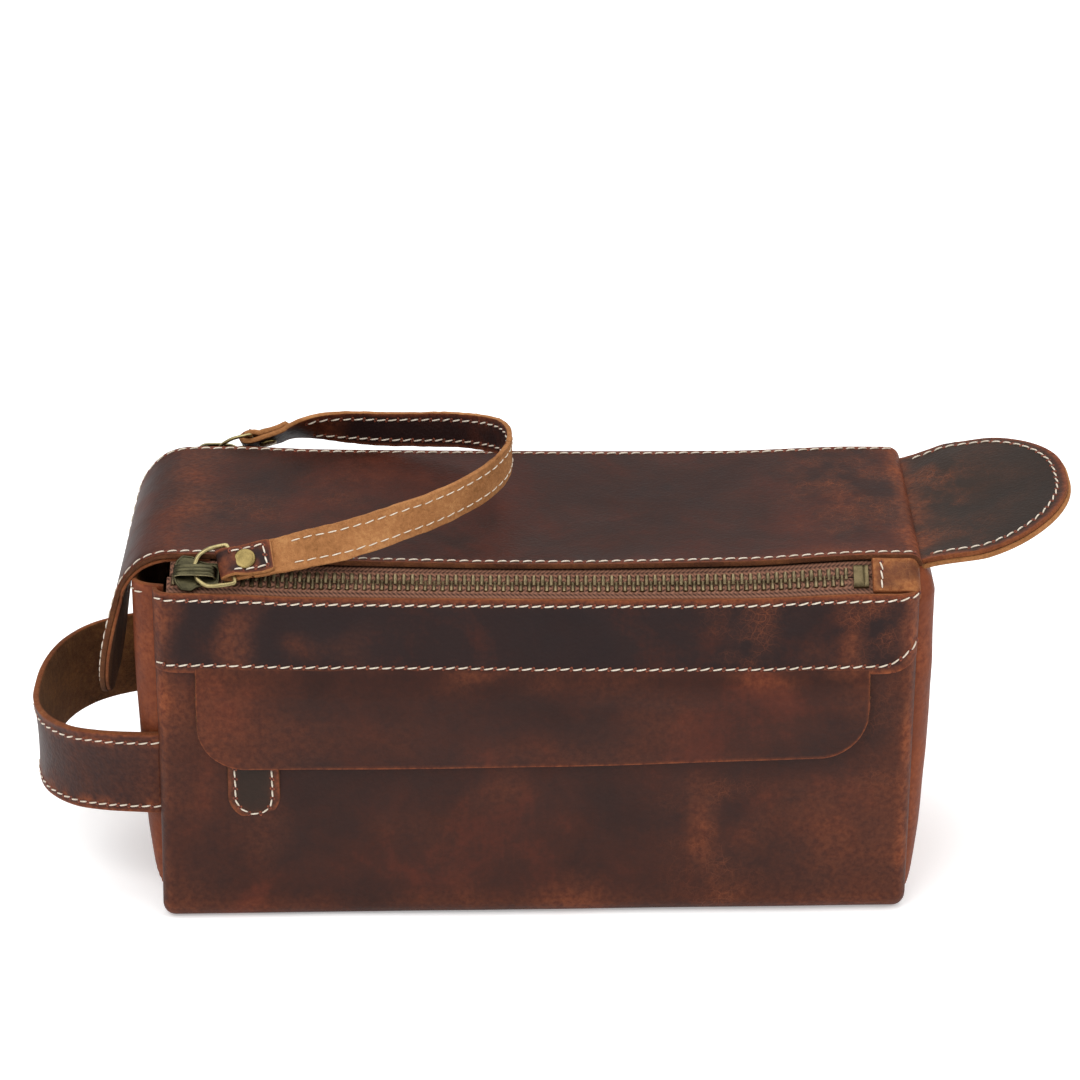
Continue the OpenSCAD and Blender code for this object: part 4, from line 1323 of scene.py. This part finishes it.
def strap_line():
    """The strap's middle line, width direction and half width, from the front tab to the back one."""
    start = strap_start(FRONT_RING, 36.9)
    end = [(x, y, z, 180 - lean) for x, y, z, lean in strap_start(BACK_RING, 36.9)]
    route = open_curve(start + FRONT_ROUTE + BACK_ROUTE[::-1] + end[::-1], 6)
    line, lean = route[:, :3], np.radians(route[:, 3])
    ahead = np.gradient(line, axis=0)
    ahead[0], ahead[-1] = FRONT_RING[1], -BACK_RING[1]
    ahead = unit(ahead)
    raw = stack(0 * lean, np.cos(lean), np.sin(lean))
    wide = unit(raw - ahead * (raw * ahead).sum(1)[:, None])
    up = np.cross(ahead, wide)
    reach = np.minimum(np.arange(len(line)), np.arange(len(line))[::-1])
    half = 5.4 + 1.0 * smooth(reach / 24)
    return line, wide, up, half


TAB_STEPS = 24


def fold(line, wide, up, half, ring, first):
    """The end of the strap folded over the ring: the upper layer, then the bend, in path order."""
    points, widths, halves = [], [], []
    for k in range(TAB_STEPS, -1, -1):
        i = k if first else len(line) - 1 - k
        gap = 3.4 - 1.5 * smooth(k / 12)
        points.append(line[i] + up[i] * gap)
        widths.append(wide[i])
        narrow = 1.0 - 0.1 * (k == TAB_STEPS) - 0.03 * (k == TAB_STEPS - 1)
        halves.append(half[i] * narrow * 0.94)
    centre, ahead, _, out = ring
    bar = centre + RING_REACH * ahead
    for k in range(1, 12):
        a = math.pi * k / 12
        points.append(bar + 1.7 * math.cos(a) * out - 3.6 * math.sin(a) * ahead)
        widths.append(widths[-1])
        halves.append(5.2)
    return np.array(points), np.array(widths), np.array(halves)


def tab_stitches(sheet, turn, end, last):
    """The seam round each folded end of the strap."""
    made = []
    for low, high in ((2.4, turn - 13), (last - 2.4, end + 12)):
        there = np.linspace(high, low, 40)
        s = np.concatenate([there, np.full(12, low), there[::-1]])
        w = np.concatenate([np.full(40, -0.72), np.linspace(-0.72, 0.72, 12), np.full(40, 0.72)])
        made.append(sheet.at(w, s))
    return stitched("pull_strap_tab_stitches", made, pitch=3.9, length=3.2, slant=5)


def strap_sheet():
    """The strap with its two folded ends as one sheet, and the stations where the folds end."""
    line, wide, up, half = strap_line()
    fp, fw, fh = fold(line, wide, up, half, FRONT_RING, True)
    bp, bw, bh = fold(line, wide, up, half, BACK_RING, False)
    path = np.concatenate([fp, line, bp[::-1]])
    widths = np.concatenate([fw, wide, bw[::-1]])
    halves = np.concatenate([fh, half, bh[::-1]])

    def shape(w, s):
        i = s.astype(int)
        point = path[i] + widths[i] * (w * halves[i])[..., None]
        fuzz = 0.3 * wobble(point, 3.0, 61) * (np.abs(w) > 0.97)
        return point + widths[i] * fuzz[..., None]

    ws = np.array([-1, -0.97, -0.9, -0.75, -0.5, -0.25, 0, 0.25, 0.5, 0.75, 0.9, 0.97, 1])
    steps = np.arange(len(path), dtype=float)
    sheet = Sheet(ws, steps, shape, 0.88, 0.88, ruffles=((7.0, 0.09, 4),))
    return sheet, len(fp), len(fp) + len(line), len(path) - 1


def build_strap():
    sheet, turn, end, last = strap_sheet()

    def wear(u, v, p):
        tabs = (v < turn) | (v > end)
        rubbed = 0.5 * smooth(0.3 + 1.5 * wobble(p, 5.0, 62))
        return np.where(tabs, rubbed, 0.25 * smooth(wobble(p, 20.0, 63) * 2))

    sides = ("band", "suede", "suede")
    strap = sheet.build("pull_strap_leather", sides, wear=wear, edge_wear=0.8, bulge=0.3)
    put(strap, "strap", "leather_suede", "pull_strap", "front_strap_tab", "back_strap_tab")
    inner, outer = [], []
    for w in (-0.62, 0.62):
        s = np.linspace(turn + 28, end - 29, 400)
        point, normal = sheet.at(w + 0 * s, s)
        inner.append((point, normal))
        outer.append((point - normal * 1.76, -normal))
    thread = stitched("pull_strap_outer_stitches", outer, radius=0.22, length=3.3, holes=False, slant=4)
    put(thread, "strap", "leather_suede")
    put(stitched("pull_strap_inner_stitches", inner), "strap", "leather_grain")
    put(tab_stitches(sheet, turn, end, last), "strap", "leather_grain")
    for side, ring in (("front", FRONT_RING), ("back", BACK_RING)):
        made = wire(side + "_ring_wire", ring_path(ring), 0.82, ring[3], "ring")
        put(made, "strap", "old_brass", side + "_ring")
    build_rivet("front", *sheet.at(0.0, TAB_STEPS - 12.5))
    build_rivet("back", *sheet.at(0.0, last - TAB_STEPS + 12.5))


def lathe(name, profile, centre, axis, material, sides=40):
    """A turned piece from radius and height pairs."""
    axis = unit(np.asarray(axis, float))
    a = unit(np.cross(axis, [1.0, 0.2, 0.1]))
    b = np.cross(axis, a)
    points = []
    for r, h in profile:
        for k in range(sides):
            w = 2 * math.pi * k / sides
            points.append(centre + axis * h + r * (math.cos(w) * a + math.sin(w) * b))
    faces = []
    for i in range(len(profile) - 1):
        for k in range(sides):
            j = (k + 1) % sides
            faces.append((i * sides + k, i * sides + j, (i + 1) * sides + j, (i + 1) * sides + k))
    last = (len(profile) - 1) * sides
    faces += [tuple(range(sides - 1, -1, -1)), tuple(last + k for k in range(sides))]
    return crisp(make_mesh(name, points, faces, (material,)), 50)


def build_rivet(side, top, out):
    """A double cap rivet through both layers of a tab."""
    cap = [(1.6, -4.4), (1.6, -0.2), (3.75, -0.1), (3.85, 0.3), (3.7, 0.72), (3.3, 0.92),
           (3.0, 0.86), (2.7, 0.78),
           (1.6, 0.95), (0.3, 1.0)]
    back = [(0.5, -4.7), (2.6, -4.65), (3.2, -4.4), (3.3, -4.0), (3.2, -3.8), (1.6, -3.8)]
    rivet = lathe(side + "_rivet_cap", cap, top, out, "rivet")
    put(rivet, "strap", "old_brass", side + "_strap_rivet")
    put(lathe(side + "_rivet_base", back, top, out, "rivet"), "strap", "old_brass")


# ---------------------------------------------------------------- side handle
HANDLE_ROUTE = [
    (-129.2, -51.8, 53), (-133.4, -54.0, 53), (-142, -52.6, 52.4), (-153, -48, 50.6), (-165, -40, 48.4),
    (-175, -28, 46.9), (-180.4, -14, 46.3), (-181.6, 0, 46.6), (-180.2, 15, 47.8), (-175.6, 29, 49.2),
    (-166.5, 41.5, 50), (-155, 49.6, 50), (-144, 53.2, 50), (-134.5, 54.2, 50), (-129.2, 52.0, 50),
]


def build_handle():
    line = open_curve(HANDLE_ROUTE, 7)
    half = (HANDLE_HIGH[2] - HANDLE_LOW[2]) / 2
    steps = np.arange(len(line), dtype=float)

    def shape(w, s):
        i = s.astype(int)
        point = line[i] + stack(0 * w, 0 * w, w * half)
        flare = 0.5 * wobble(point * np.array([1, 1, 0.4]), 28.0, 71)
        lean = (point - line[i])[..., 2] * 0.03
        out = unit(line[i] * np.array([1, 1, 0]) - np.array([-140.0, 0, 0]))
        return point + out * (flare + lean - 0.9 * (1 - w * w))[..., None]

    ws = np.array([-1, -0.97, -0.92, -0.82, -0.6, -0.3, 0, 0.3, 0.6, 0.82, 0.92, 0.97, 1])
    sheet = Sheet(ws, steps, shape, 1.1, 1.1, ruffles=((16.0, 0.25, 5), (5.0, 0.08, 6)))

    def wear(u, v, p):
        ends = np.exp(-((v / 9) ** 2)) + np.exp(-(((v - len(line)) / 9) ** 2))
        rows = 0.5 * np.exp(-(((np.abs(u) - 0.84) / 0.07) ** 2)) * smooth(0.5 + 1.5 * wobble(p, 4.0, 9))
        return 0.12 + 0.35 * ends + rows + 0.25 * smooth(wobble(p, 16.0, 10) * 2)

    # The handle's back, which faces the bag, takes the suede with painted shade.
    sides = ("band", "suede_painted_shade", "edge")
    made = sheet.build("side_handle_leather", sides, wear=wear, edge_wear=1.0, bulge=0.4)
    run = np.linspace(5, len(line) - 6, 300)
    lines = [seam(sheet, w + 0 * run, run, steps=300) for w in (-0.86, 0.79)]
    thread = stitched("side_handle_stitches", lines)
    start, end = (-141.0, 0, 51.0), (-157.0, 0, 51.0)
    blended(made, "bag", "handle", start, end, "leather_grain", "side_handle", "handle_anchors")
    blended(thread, "bag", "handle", start, end, "leather_grain")


# ---------------------------------------------------------------- end tab
EAR_ROOT = np.array(JOINTS["ear_flex"]["pos_m"]) / MM
EAR_TILT = math.radians(13)
EAR_LEN, EAR_HALF, EAR_R, EAR_HIDDEN = 53.0, 43.0, 40.0, 6.5


def ear_point(y, v, inset=0.0):
    reach = round_end(y, EAR_HALF - inset, EAR_R, EAR_LEN - inset)
    s = -EAR_HIDDEN + v * (reach + EAR_HIDDEN)
    curl = 0.0011 * np.clip(s, 0, None) ** 2 - 0.012 * np.clip(-s, 0, None) ** 2
    x = EAR_ROOT[0] + s * math.cos(EAR_TILT)
    z = EAR_ROOT[2] - 0.6 + s * math.sin(EAR_TILT) + curl
    lifted = 3.2 * smooth((y + 8) / 40) * smooth(s / 16) * (1 - 0.55 * smooth((s - 26) / 24))
    waves = 0.5 * wobble(stack(x, y, 0 * x), 26.0, 81)
    return stack(x, y, z + lifted + waves)


def ear_v(s, y):
    return (s + EAR_HIDDEN) / (round_end(y, EAR_HALF, EAR_R, EAR_LEN) + EAR_HIDDEN)


def build_ear():
    ys = np.unique(np.round(np.concatenate([across(EAR_HALF, 44, 0.8), [-42.7, 42.7, -42.2, 42.2]]), 4))
    vs = np.unique(np.round(np.concatenate([np.linspace(0, 1, 36), [0.985, 0.993]]), 5))
    top = Sheet(ys, vs, ear_point, 1.6, 0.0, flip=True, ruffles=((12.0, 0.12, 6),))

    def crease(u, v, p):
        near = np.exp(-((np.clip(v, 0, 1) / 0.4) ** 2))
        return near * 1.3 * smooth(0.9 + 1.4 * wobble(p, 15.0, 13)) + 0.05

    def wear(u, v, p):
        return 0.45 * np.exp(-((v / 0.17) ** 2)) * (0.7 + wobble(p, 9.0, 23))

    made = top.build("end_tab_face", ("dark", "suede", "edge"), wear=wear, crease=crease)
    under = Sheet(ys, vs, lambda y, v: ear_point(y, v, -0.35), -0.05, 1.9, flip=top.flip)
    backing = under.build("end_tab_backing", ("suede", "suede", "suede"), bulge=0.6)
    inset = 3.4
    ang = np.linspace(0, math.pi / 2, 40)
    side = np.linspace(1.0, EAR_LEN - EAR_R, 20)
    y = EAR_HALF - EAR_R + (EAR_R - inset) * np.cos(ang)
    s = EAR_LEN - EAR_R + (EAR_R - inset) * np.sin(ang)
    y = np.concatenate([side * 0 + EAR_HALF - inset, y])
    s = np.concatenate([side, s])
    y, s = np.concatenate([y, -y[::-1]]), np.concatenate([s, s[::-1]])
    thread = stitched("end_tab_stitches", [top.at(y, ear_v(s, y))])
    start, end = (133.5, 0, EAR_ROOT[2]), (142.0, 0, EAR_ROOT[2])
    blended(made, "bag", "ear", start, end, "leather_grain", "ear_top")
    blended(backing, "bag", "ear", start, end, "leather_suede", "ear_backing")
    blended(thread, "bag", "ear", start, end, "leather_grain")


# ---------------------------------------------------------------- front pocket
FLAP_X = ((FLAP_LOW[0] + FLAP_HIGH[0]) / 2, (FLAP_HIGH[0] - FLAP_LOW[0]) / 2)
FLAP_TOP = 97.5
FLAP_R = 17.0


def flap_point(w, v):
    """w along the flap from its middle, v down it from under the band to its free edge."""
    x = FLAP_X[0] + w
    lowest = 60.6 + 3.0 * w / FLAP_X[1] - 0.6 * np.cos(w / FLAP_X[1] * math.pi)
    length = FLAP_TOP - lowest
    reach = round_end(w, FLAP_X[1], FLAP_R, length)
    z = FLAP_TOP - v * reach
    lift = np.interp(z, [58, 66, 78, 86, 91, 94, FLAP_TOP], [3.9, 4.3, 4.3, 3.8, 2.5, 1.2, 0.4])
    lift = lift + 0.45 * wobble(stack(x, 0 * x, z), 45.0, 91) * smooth((92 - z) / 10)
    swell = puff(x, WALL_H - z) * smooth((z - 82) / 12)
    return stack(x, -(DEPTH + lift + swell), z)


def build_flap():
    corner = FLAP_X[1] - FLAP_R * (1 - np.cos(np.linspace(0.1, 1.5, 10)))
    ws = np.concatenate([spread(-FLAP_X[1], FLAP_X[1], 3.0, near=0.4), corner, -corner])
    ws = np.unique(np.round(ws, 4))
    vs = np.unique(np.concatenate([np.linspace(0, 1, 26), [0.985, 0.993]]))
    sheet = Sheet(ws, vs, flap_point, 0.8, 0.8, ruffles=((14.0, 0.1, 8),), flip=True)

    def wear(u, v, p):
        patchy = smooth(0.2 + 1.6 * wobble(p * [1, 1, 2.5], 24.0, 34))
        fold_line = 0.35 * np.exp(-(((v - 0.12) / 0.1) ** 2)) * patchy
        left = 0.24 * np.exp(-(((u + FLAP_X[1]) / 26) ** 2))
        return fold_line + left + 0.12 * smooth(2 * wobble(p, 30.0, 33))

    sides = ("grain", "suede_painted_shade", "edge_dark")
    made = sheet.build("pocket_flap_leather", sides, edge_wear=0.5, bulge=0.25, wear=wear)
    blended(made, "bag", "flap", (0, -60.0, 96.5), (0, -60.0, 88.5), "leather_grain", "front_flap")


PULL_X = (PULL_LOW[0] + PULL_HIGH[0]) / 2
PULL_HALF = (PULL_HIGH[0] - PULL_LOW[0]) / 2
PULL_TOP, PULL_END = PULL_HIGH[2], PULL_LOW[2]


def pull_point(w, v):
    reach = round_end(w, PULL_HALF, PULL_HALF - 0.1, PULL_TOP - PULL_END)
    z = PULL_TOP - v * reach
    bow = 0.25 * np.sin(v * math.pi)
    return stack(PULL_X + w, -(DEPTH + 1.55 + bow), z)


def w_edge(w, v):
    """Distance of a point of the pull tab from its outline."""
    length = PULL_TOP - PULL_END
    s = v * round_end(w, PULL_HALF, PULL_HALF - 0.1, length)
    down = s - (length - PULL_HALF)
    return np.where(down > 0, PULL_HALF - np.hypot(w, np.clip(down, 0, None)), PULL_HALF - np.abs(w))


def build_pocket():
    ws, vs = across(PULL_HALF, 26, 0.85), np.unique(np.concatenate([np.linspace(0, 1, 30), [0.985]]))
    sheet = Sheet(ws, vs, pull_point, 1.0, 1.15, ruffles=((6.0, 0.06, 9),), flip=True)
    made = sheet.build("pocket_pull_leather", ("dark", "suede_painted_shade", "edge_dark"), edge_wear=1.1, bulge=0.35,
                       wear=lambda u, v, p: 0.45 * np.exp(-(((w_edge(u, v)) / 2.2) ** 2)))
    put(made, "pocket_pull", "leather_grain", "pocket_pull_tab")
    inset, r = 2.3, PULL_HALF - 0.1
    length = PULL_TOP - PULL_END
    ang = np.linspace(0, math.pi, 60)
    side = np.linspace(3.0, length - r, 30)
    edge = side * 0 + PULL_HALF - inset
    w = np.concatenate([edge, (r - inset) * np.cos(ang), -edge])
    s = np.concatenate([side, length - r + (r - inset) * np.sin(ang), side[::-1]])
    line = sheet.at(w, s / round_end(w, PULL_HALF, r, length))
    thread = stitched("pocket_pull_stitches", [line], pitch=3.9, length=3.0, slant=5)
    put(thread, "pocket_pull", "leather_grain")
    pocket_tape()
    for node in ("pocket_zip_teeth", "pocket_zip_stops"):
        keep_node(node, "teeth")
    for node in ("pocket_slider", "pocket_pull_link"):
        keep_node(node, "slider")


def keep_node(node, material):
    """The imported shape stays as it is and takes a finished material."""
    mesh = frame["nodes"][node].data
    mesh.materials.clear()
    mesh.materials.append(KEPT[material])


def pocket_tape():
    low, high = node_box("pocket_zip_tape")
    xs = spread(low[0], high[0], 2.4, dense=(SLOT[0], SLOT[1]))
    zs = spread(low[2], high[2], 1.0, dense=(80 - 1.4, 80 + 1.4), near=0.3)

    def shape(x, z):
        return stack(x, 0 * x + high[1] - 0.3 + 0.1 * wobble(stack(x, z, 0 * x), 10.0, 44), z)

    def slit(x, z):
        return ~((x > SLOT[0] + 1) & (x < SLOT[1] - 1) & (np.abs(z - 80) < 1.4))

    tape = Sheet(xs, zs, shape, 0.3, 0.3, keep=slit, flip=False)
    made = tape.build("pocket_tape_weave", TAPE, rim=2)
    put(made, "bag", "zip_tape", "pocket_zip_tape")
    pouch_low, pouch_high = node_box("pocket_bag")

    def pouch(t, z):
        a = t * 2 * math.pi
        half = (pouch_high[0] - pouch_low[0]) / 2 - 1
        deep = 1.9 * np.sin(math.pi * np.clip((z - pouch_low[2]) / 50, 0.05, 0.5))
        middle = (pouch_low[0] + pouch_high[0]) / 2
        y = (pouch_low[1] + pouch_high[1]) / 2 + deep * np.sign(np.sin(a)) * np.abs(np.sin(a)) ** 0.5
        x = middle + half * np.sign(np.cos(a)) * np.abs(np.cos(a)) ** 0.3
        return stack(x, y + 0.2 * wobble(stack(x, y, z), 18.0, 45), z)

    zs = np.linspace(pouch_low[2] + 0.4, pouch_high[2] - 12, 20)
    bag = Sheet(np.arange(96) / 96, zs, pouch, 0.2, 0.2, loop=True)
    made = bag.build("pocket_pouch_cloth", LINING, rim=2)
    put(made, "bag", "lining_cloth", "pocket_bag")


# ---------------------------------------------------------------- linings
def lining_point(t, r):
    """Once round the compartment with t; r goes from the middle of its floor, 0, up to its rim, 1."""
    a = t * 2 * math.pi
    half_x, half_y = LINING_HIGH[0] - 0.5, LINING_HIGH[1] - 0.4
    floor, top = LINING_LOW[2] + 0.4, LINING_HIGH[2]
    out = np.clip(r / 0.42, 0, 1)
    bend = np.clip((r - 0.42) / 0.08, 0, 1)
    high = np.clip((r - 0.5) / 0.5, 0, 1)
    power = 0.16
    cx = np.sign(np.cos(a)) * np.abs(np.cos(a)) ** power
    cy = np.sign(np.sin(a)) * np.abs(np.sin(a)) ** power
    turn = bend * math.pi / 2
    radius = 8.0
    x = cx * ((half_x - radius) * out + radius * np.sin(turn))
    y = cy * ((half_y - radius) * out + radius * np.sin(turn))
    z = floor + radius * (1 - np.cos(turn)) + (top - floor - radius) * high
    point = stack(x, y, z)
    slack = np.clip(1.2 * wobble(point, 30.0, 95) + 0.6 * wobble(point, 12.0, 96), 0, None)
    inward = -unit(stack(x, y, 0 * z) + 1e-6)
    return point + inward * (slack * high)[..., None] + stack(0 * z, 0 * z, slack * (1 - high))


def build_linings():
    parts = (np.linspace(0.01, 0.42, 12), np.linspace(0.42, 0.5, 7), np.linspace(0.5, 1, 22))
    rs = np.unique(np.round(np.concatenate(parts), 5))
    bowl = Sheet(np.arange(180) / 180, rs, lining_point, 0.35, 0.35, loop=True)
    made = bowl.build("main_lining_cloth", LINING, rim=2)
    put(made, "bag", "lining_cloth", "main_lining")
    low, high = node_box("lid_lining")

    def under(x, y):
        puffed = 0.5 * wobble(stack(x, y, 0 * x), 20.0, 97)
        sagged = sag(x) * (2.6 + 0.7 * (1 - (y / LID_HALF) ** 2))
        return stack(x, y, low[2] - 0.9 - sagged + puffed)

    sheet = Sheet(spread(low[0], 106.0, 4, near=0.4), spread(low[1], high[1], 4, near=0.4), under, 0.3, 0.3)
    made = sheet.build("lid_lining_cloth", LINING, rim=2)
    put(made, "lid", "lining_cloth", "lid_lining")


# ---------------------------------------------------------------- floor, lights and camera
def build_stage():
    made, tree, shader = new_material("studio_floor", Roughness=0.9, Specular_IOR_Level=0.1)
    shader.inputs["Emission Color"].default_value = (1, 1, 1, 1)
    shader.inputs["Emission Strength"].default_value = 0.3
    tone = cloud(tree, add(tree, "ShaderNodeTexCoord").outputs["Object"], 3.0)
    tree.links.new(ramp(tree, tone, [(0.3, "#fafafa"), (0.7, "#ffffff")]), shader.inputs["Base Color"])
    mesh = bpy.data.meshes.new("studio_floor")
    size = 6.0
    corners = [(-size, -size, 0), (size, -size, 0), (size, size, 0), (-size, size, 0)]
    mesh.from_pydata(corners, [], [(0, 1, 2, 3)])
    mesh.materials.append(made)
    floor = bpy.data.objects.new("studio_floor", mesh)
    bpy.context.scene.collection.objects.link(floor)


def area_light(name, place, aim, size, power, colour=(1, 1, 1)):
    data = bpy.data.lights.new(name, "AREA")
    data.shape, data.size, data.energy, data.color = "DISK", size, power, colour
    made = bpy.data.objects.new(name, data)
    made.location = place
    made.rotation_euler = (Vector(aim) - Vector(place)).to_track_quat("-Z", "Y").to_euler()
    bpy.context.scene.collection.objects.link(made)


def build_studio():
    build_stage()
    world = bpy.data.worlds.new("studio")
    world.use_nodes = True
    world.node_tree.nodes["Background"].inputs[0].default_value = (1, 1, 1, 1)
    world.node_tree.nodes["Background"].inputs[1].default_value = 0.66
    scene = bpy.context.scene
    scene.world = world
    scene.view_settings.view_transform = "Standard"
    area_light("key", (-0.7, -1.0, 1.5), (0, 0, 0.06), 1.3, 12)
    area_light("top", (0.15, 0.25, 1.7), (0, 0, 0.05), 1.6, 15)
    area_light("right", (1.4, -0.5, 0.9), (0, 0, 0.08), 1.0, 5)


def build_camera():
    data = bpy.data.cameras.new("camera")
    data.sensor_width = 36.0
    data.lens = 120.16
    made = bpy.data.objects.new("camera", data)
    pitch, yaw, roll = math.radians(23.754), 0.0016, 0.0035
    look = Vector((math.sin(yaw) * math.cos(pitch), math.cos(yaw) * math.cos(pitch), -math.sin(pitch)))
    turn = look.to_track_quat("-Z", "Y").to_matrix().to_4x4() @ Matrix.Rotation(roll, 4, "Z")
    made.matrix_world = Matrix.Translation((-0.00046, -1.18597, 0.64119)) @ turn
    data.clip_start, data.clip_end = 0.05, 30
    bpy.context.scene.collection.objects.link(made)
    bpy.context.scene.camera = made


build_camera()
build_studio()
build_walls()
build_bands()
build_ends()
build_lid()
build_zips()
build_sliders()
build_strap()
build_handle()
build_ear()
build_flap()
build_pocket()
build_linings()
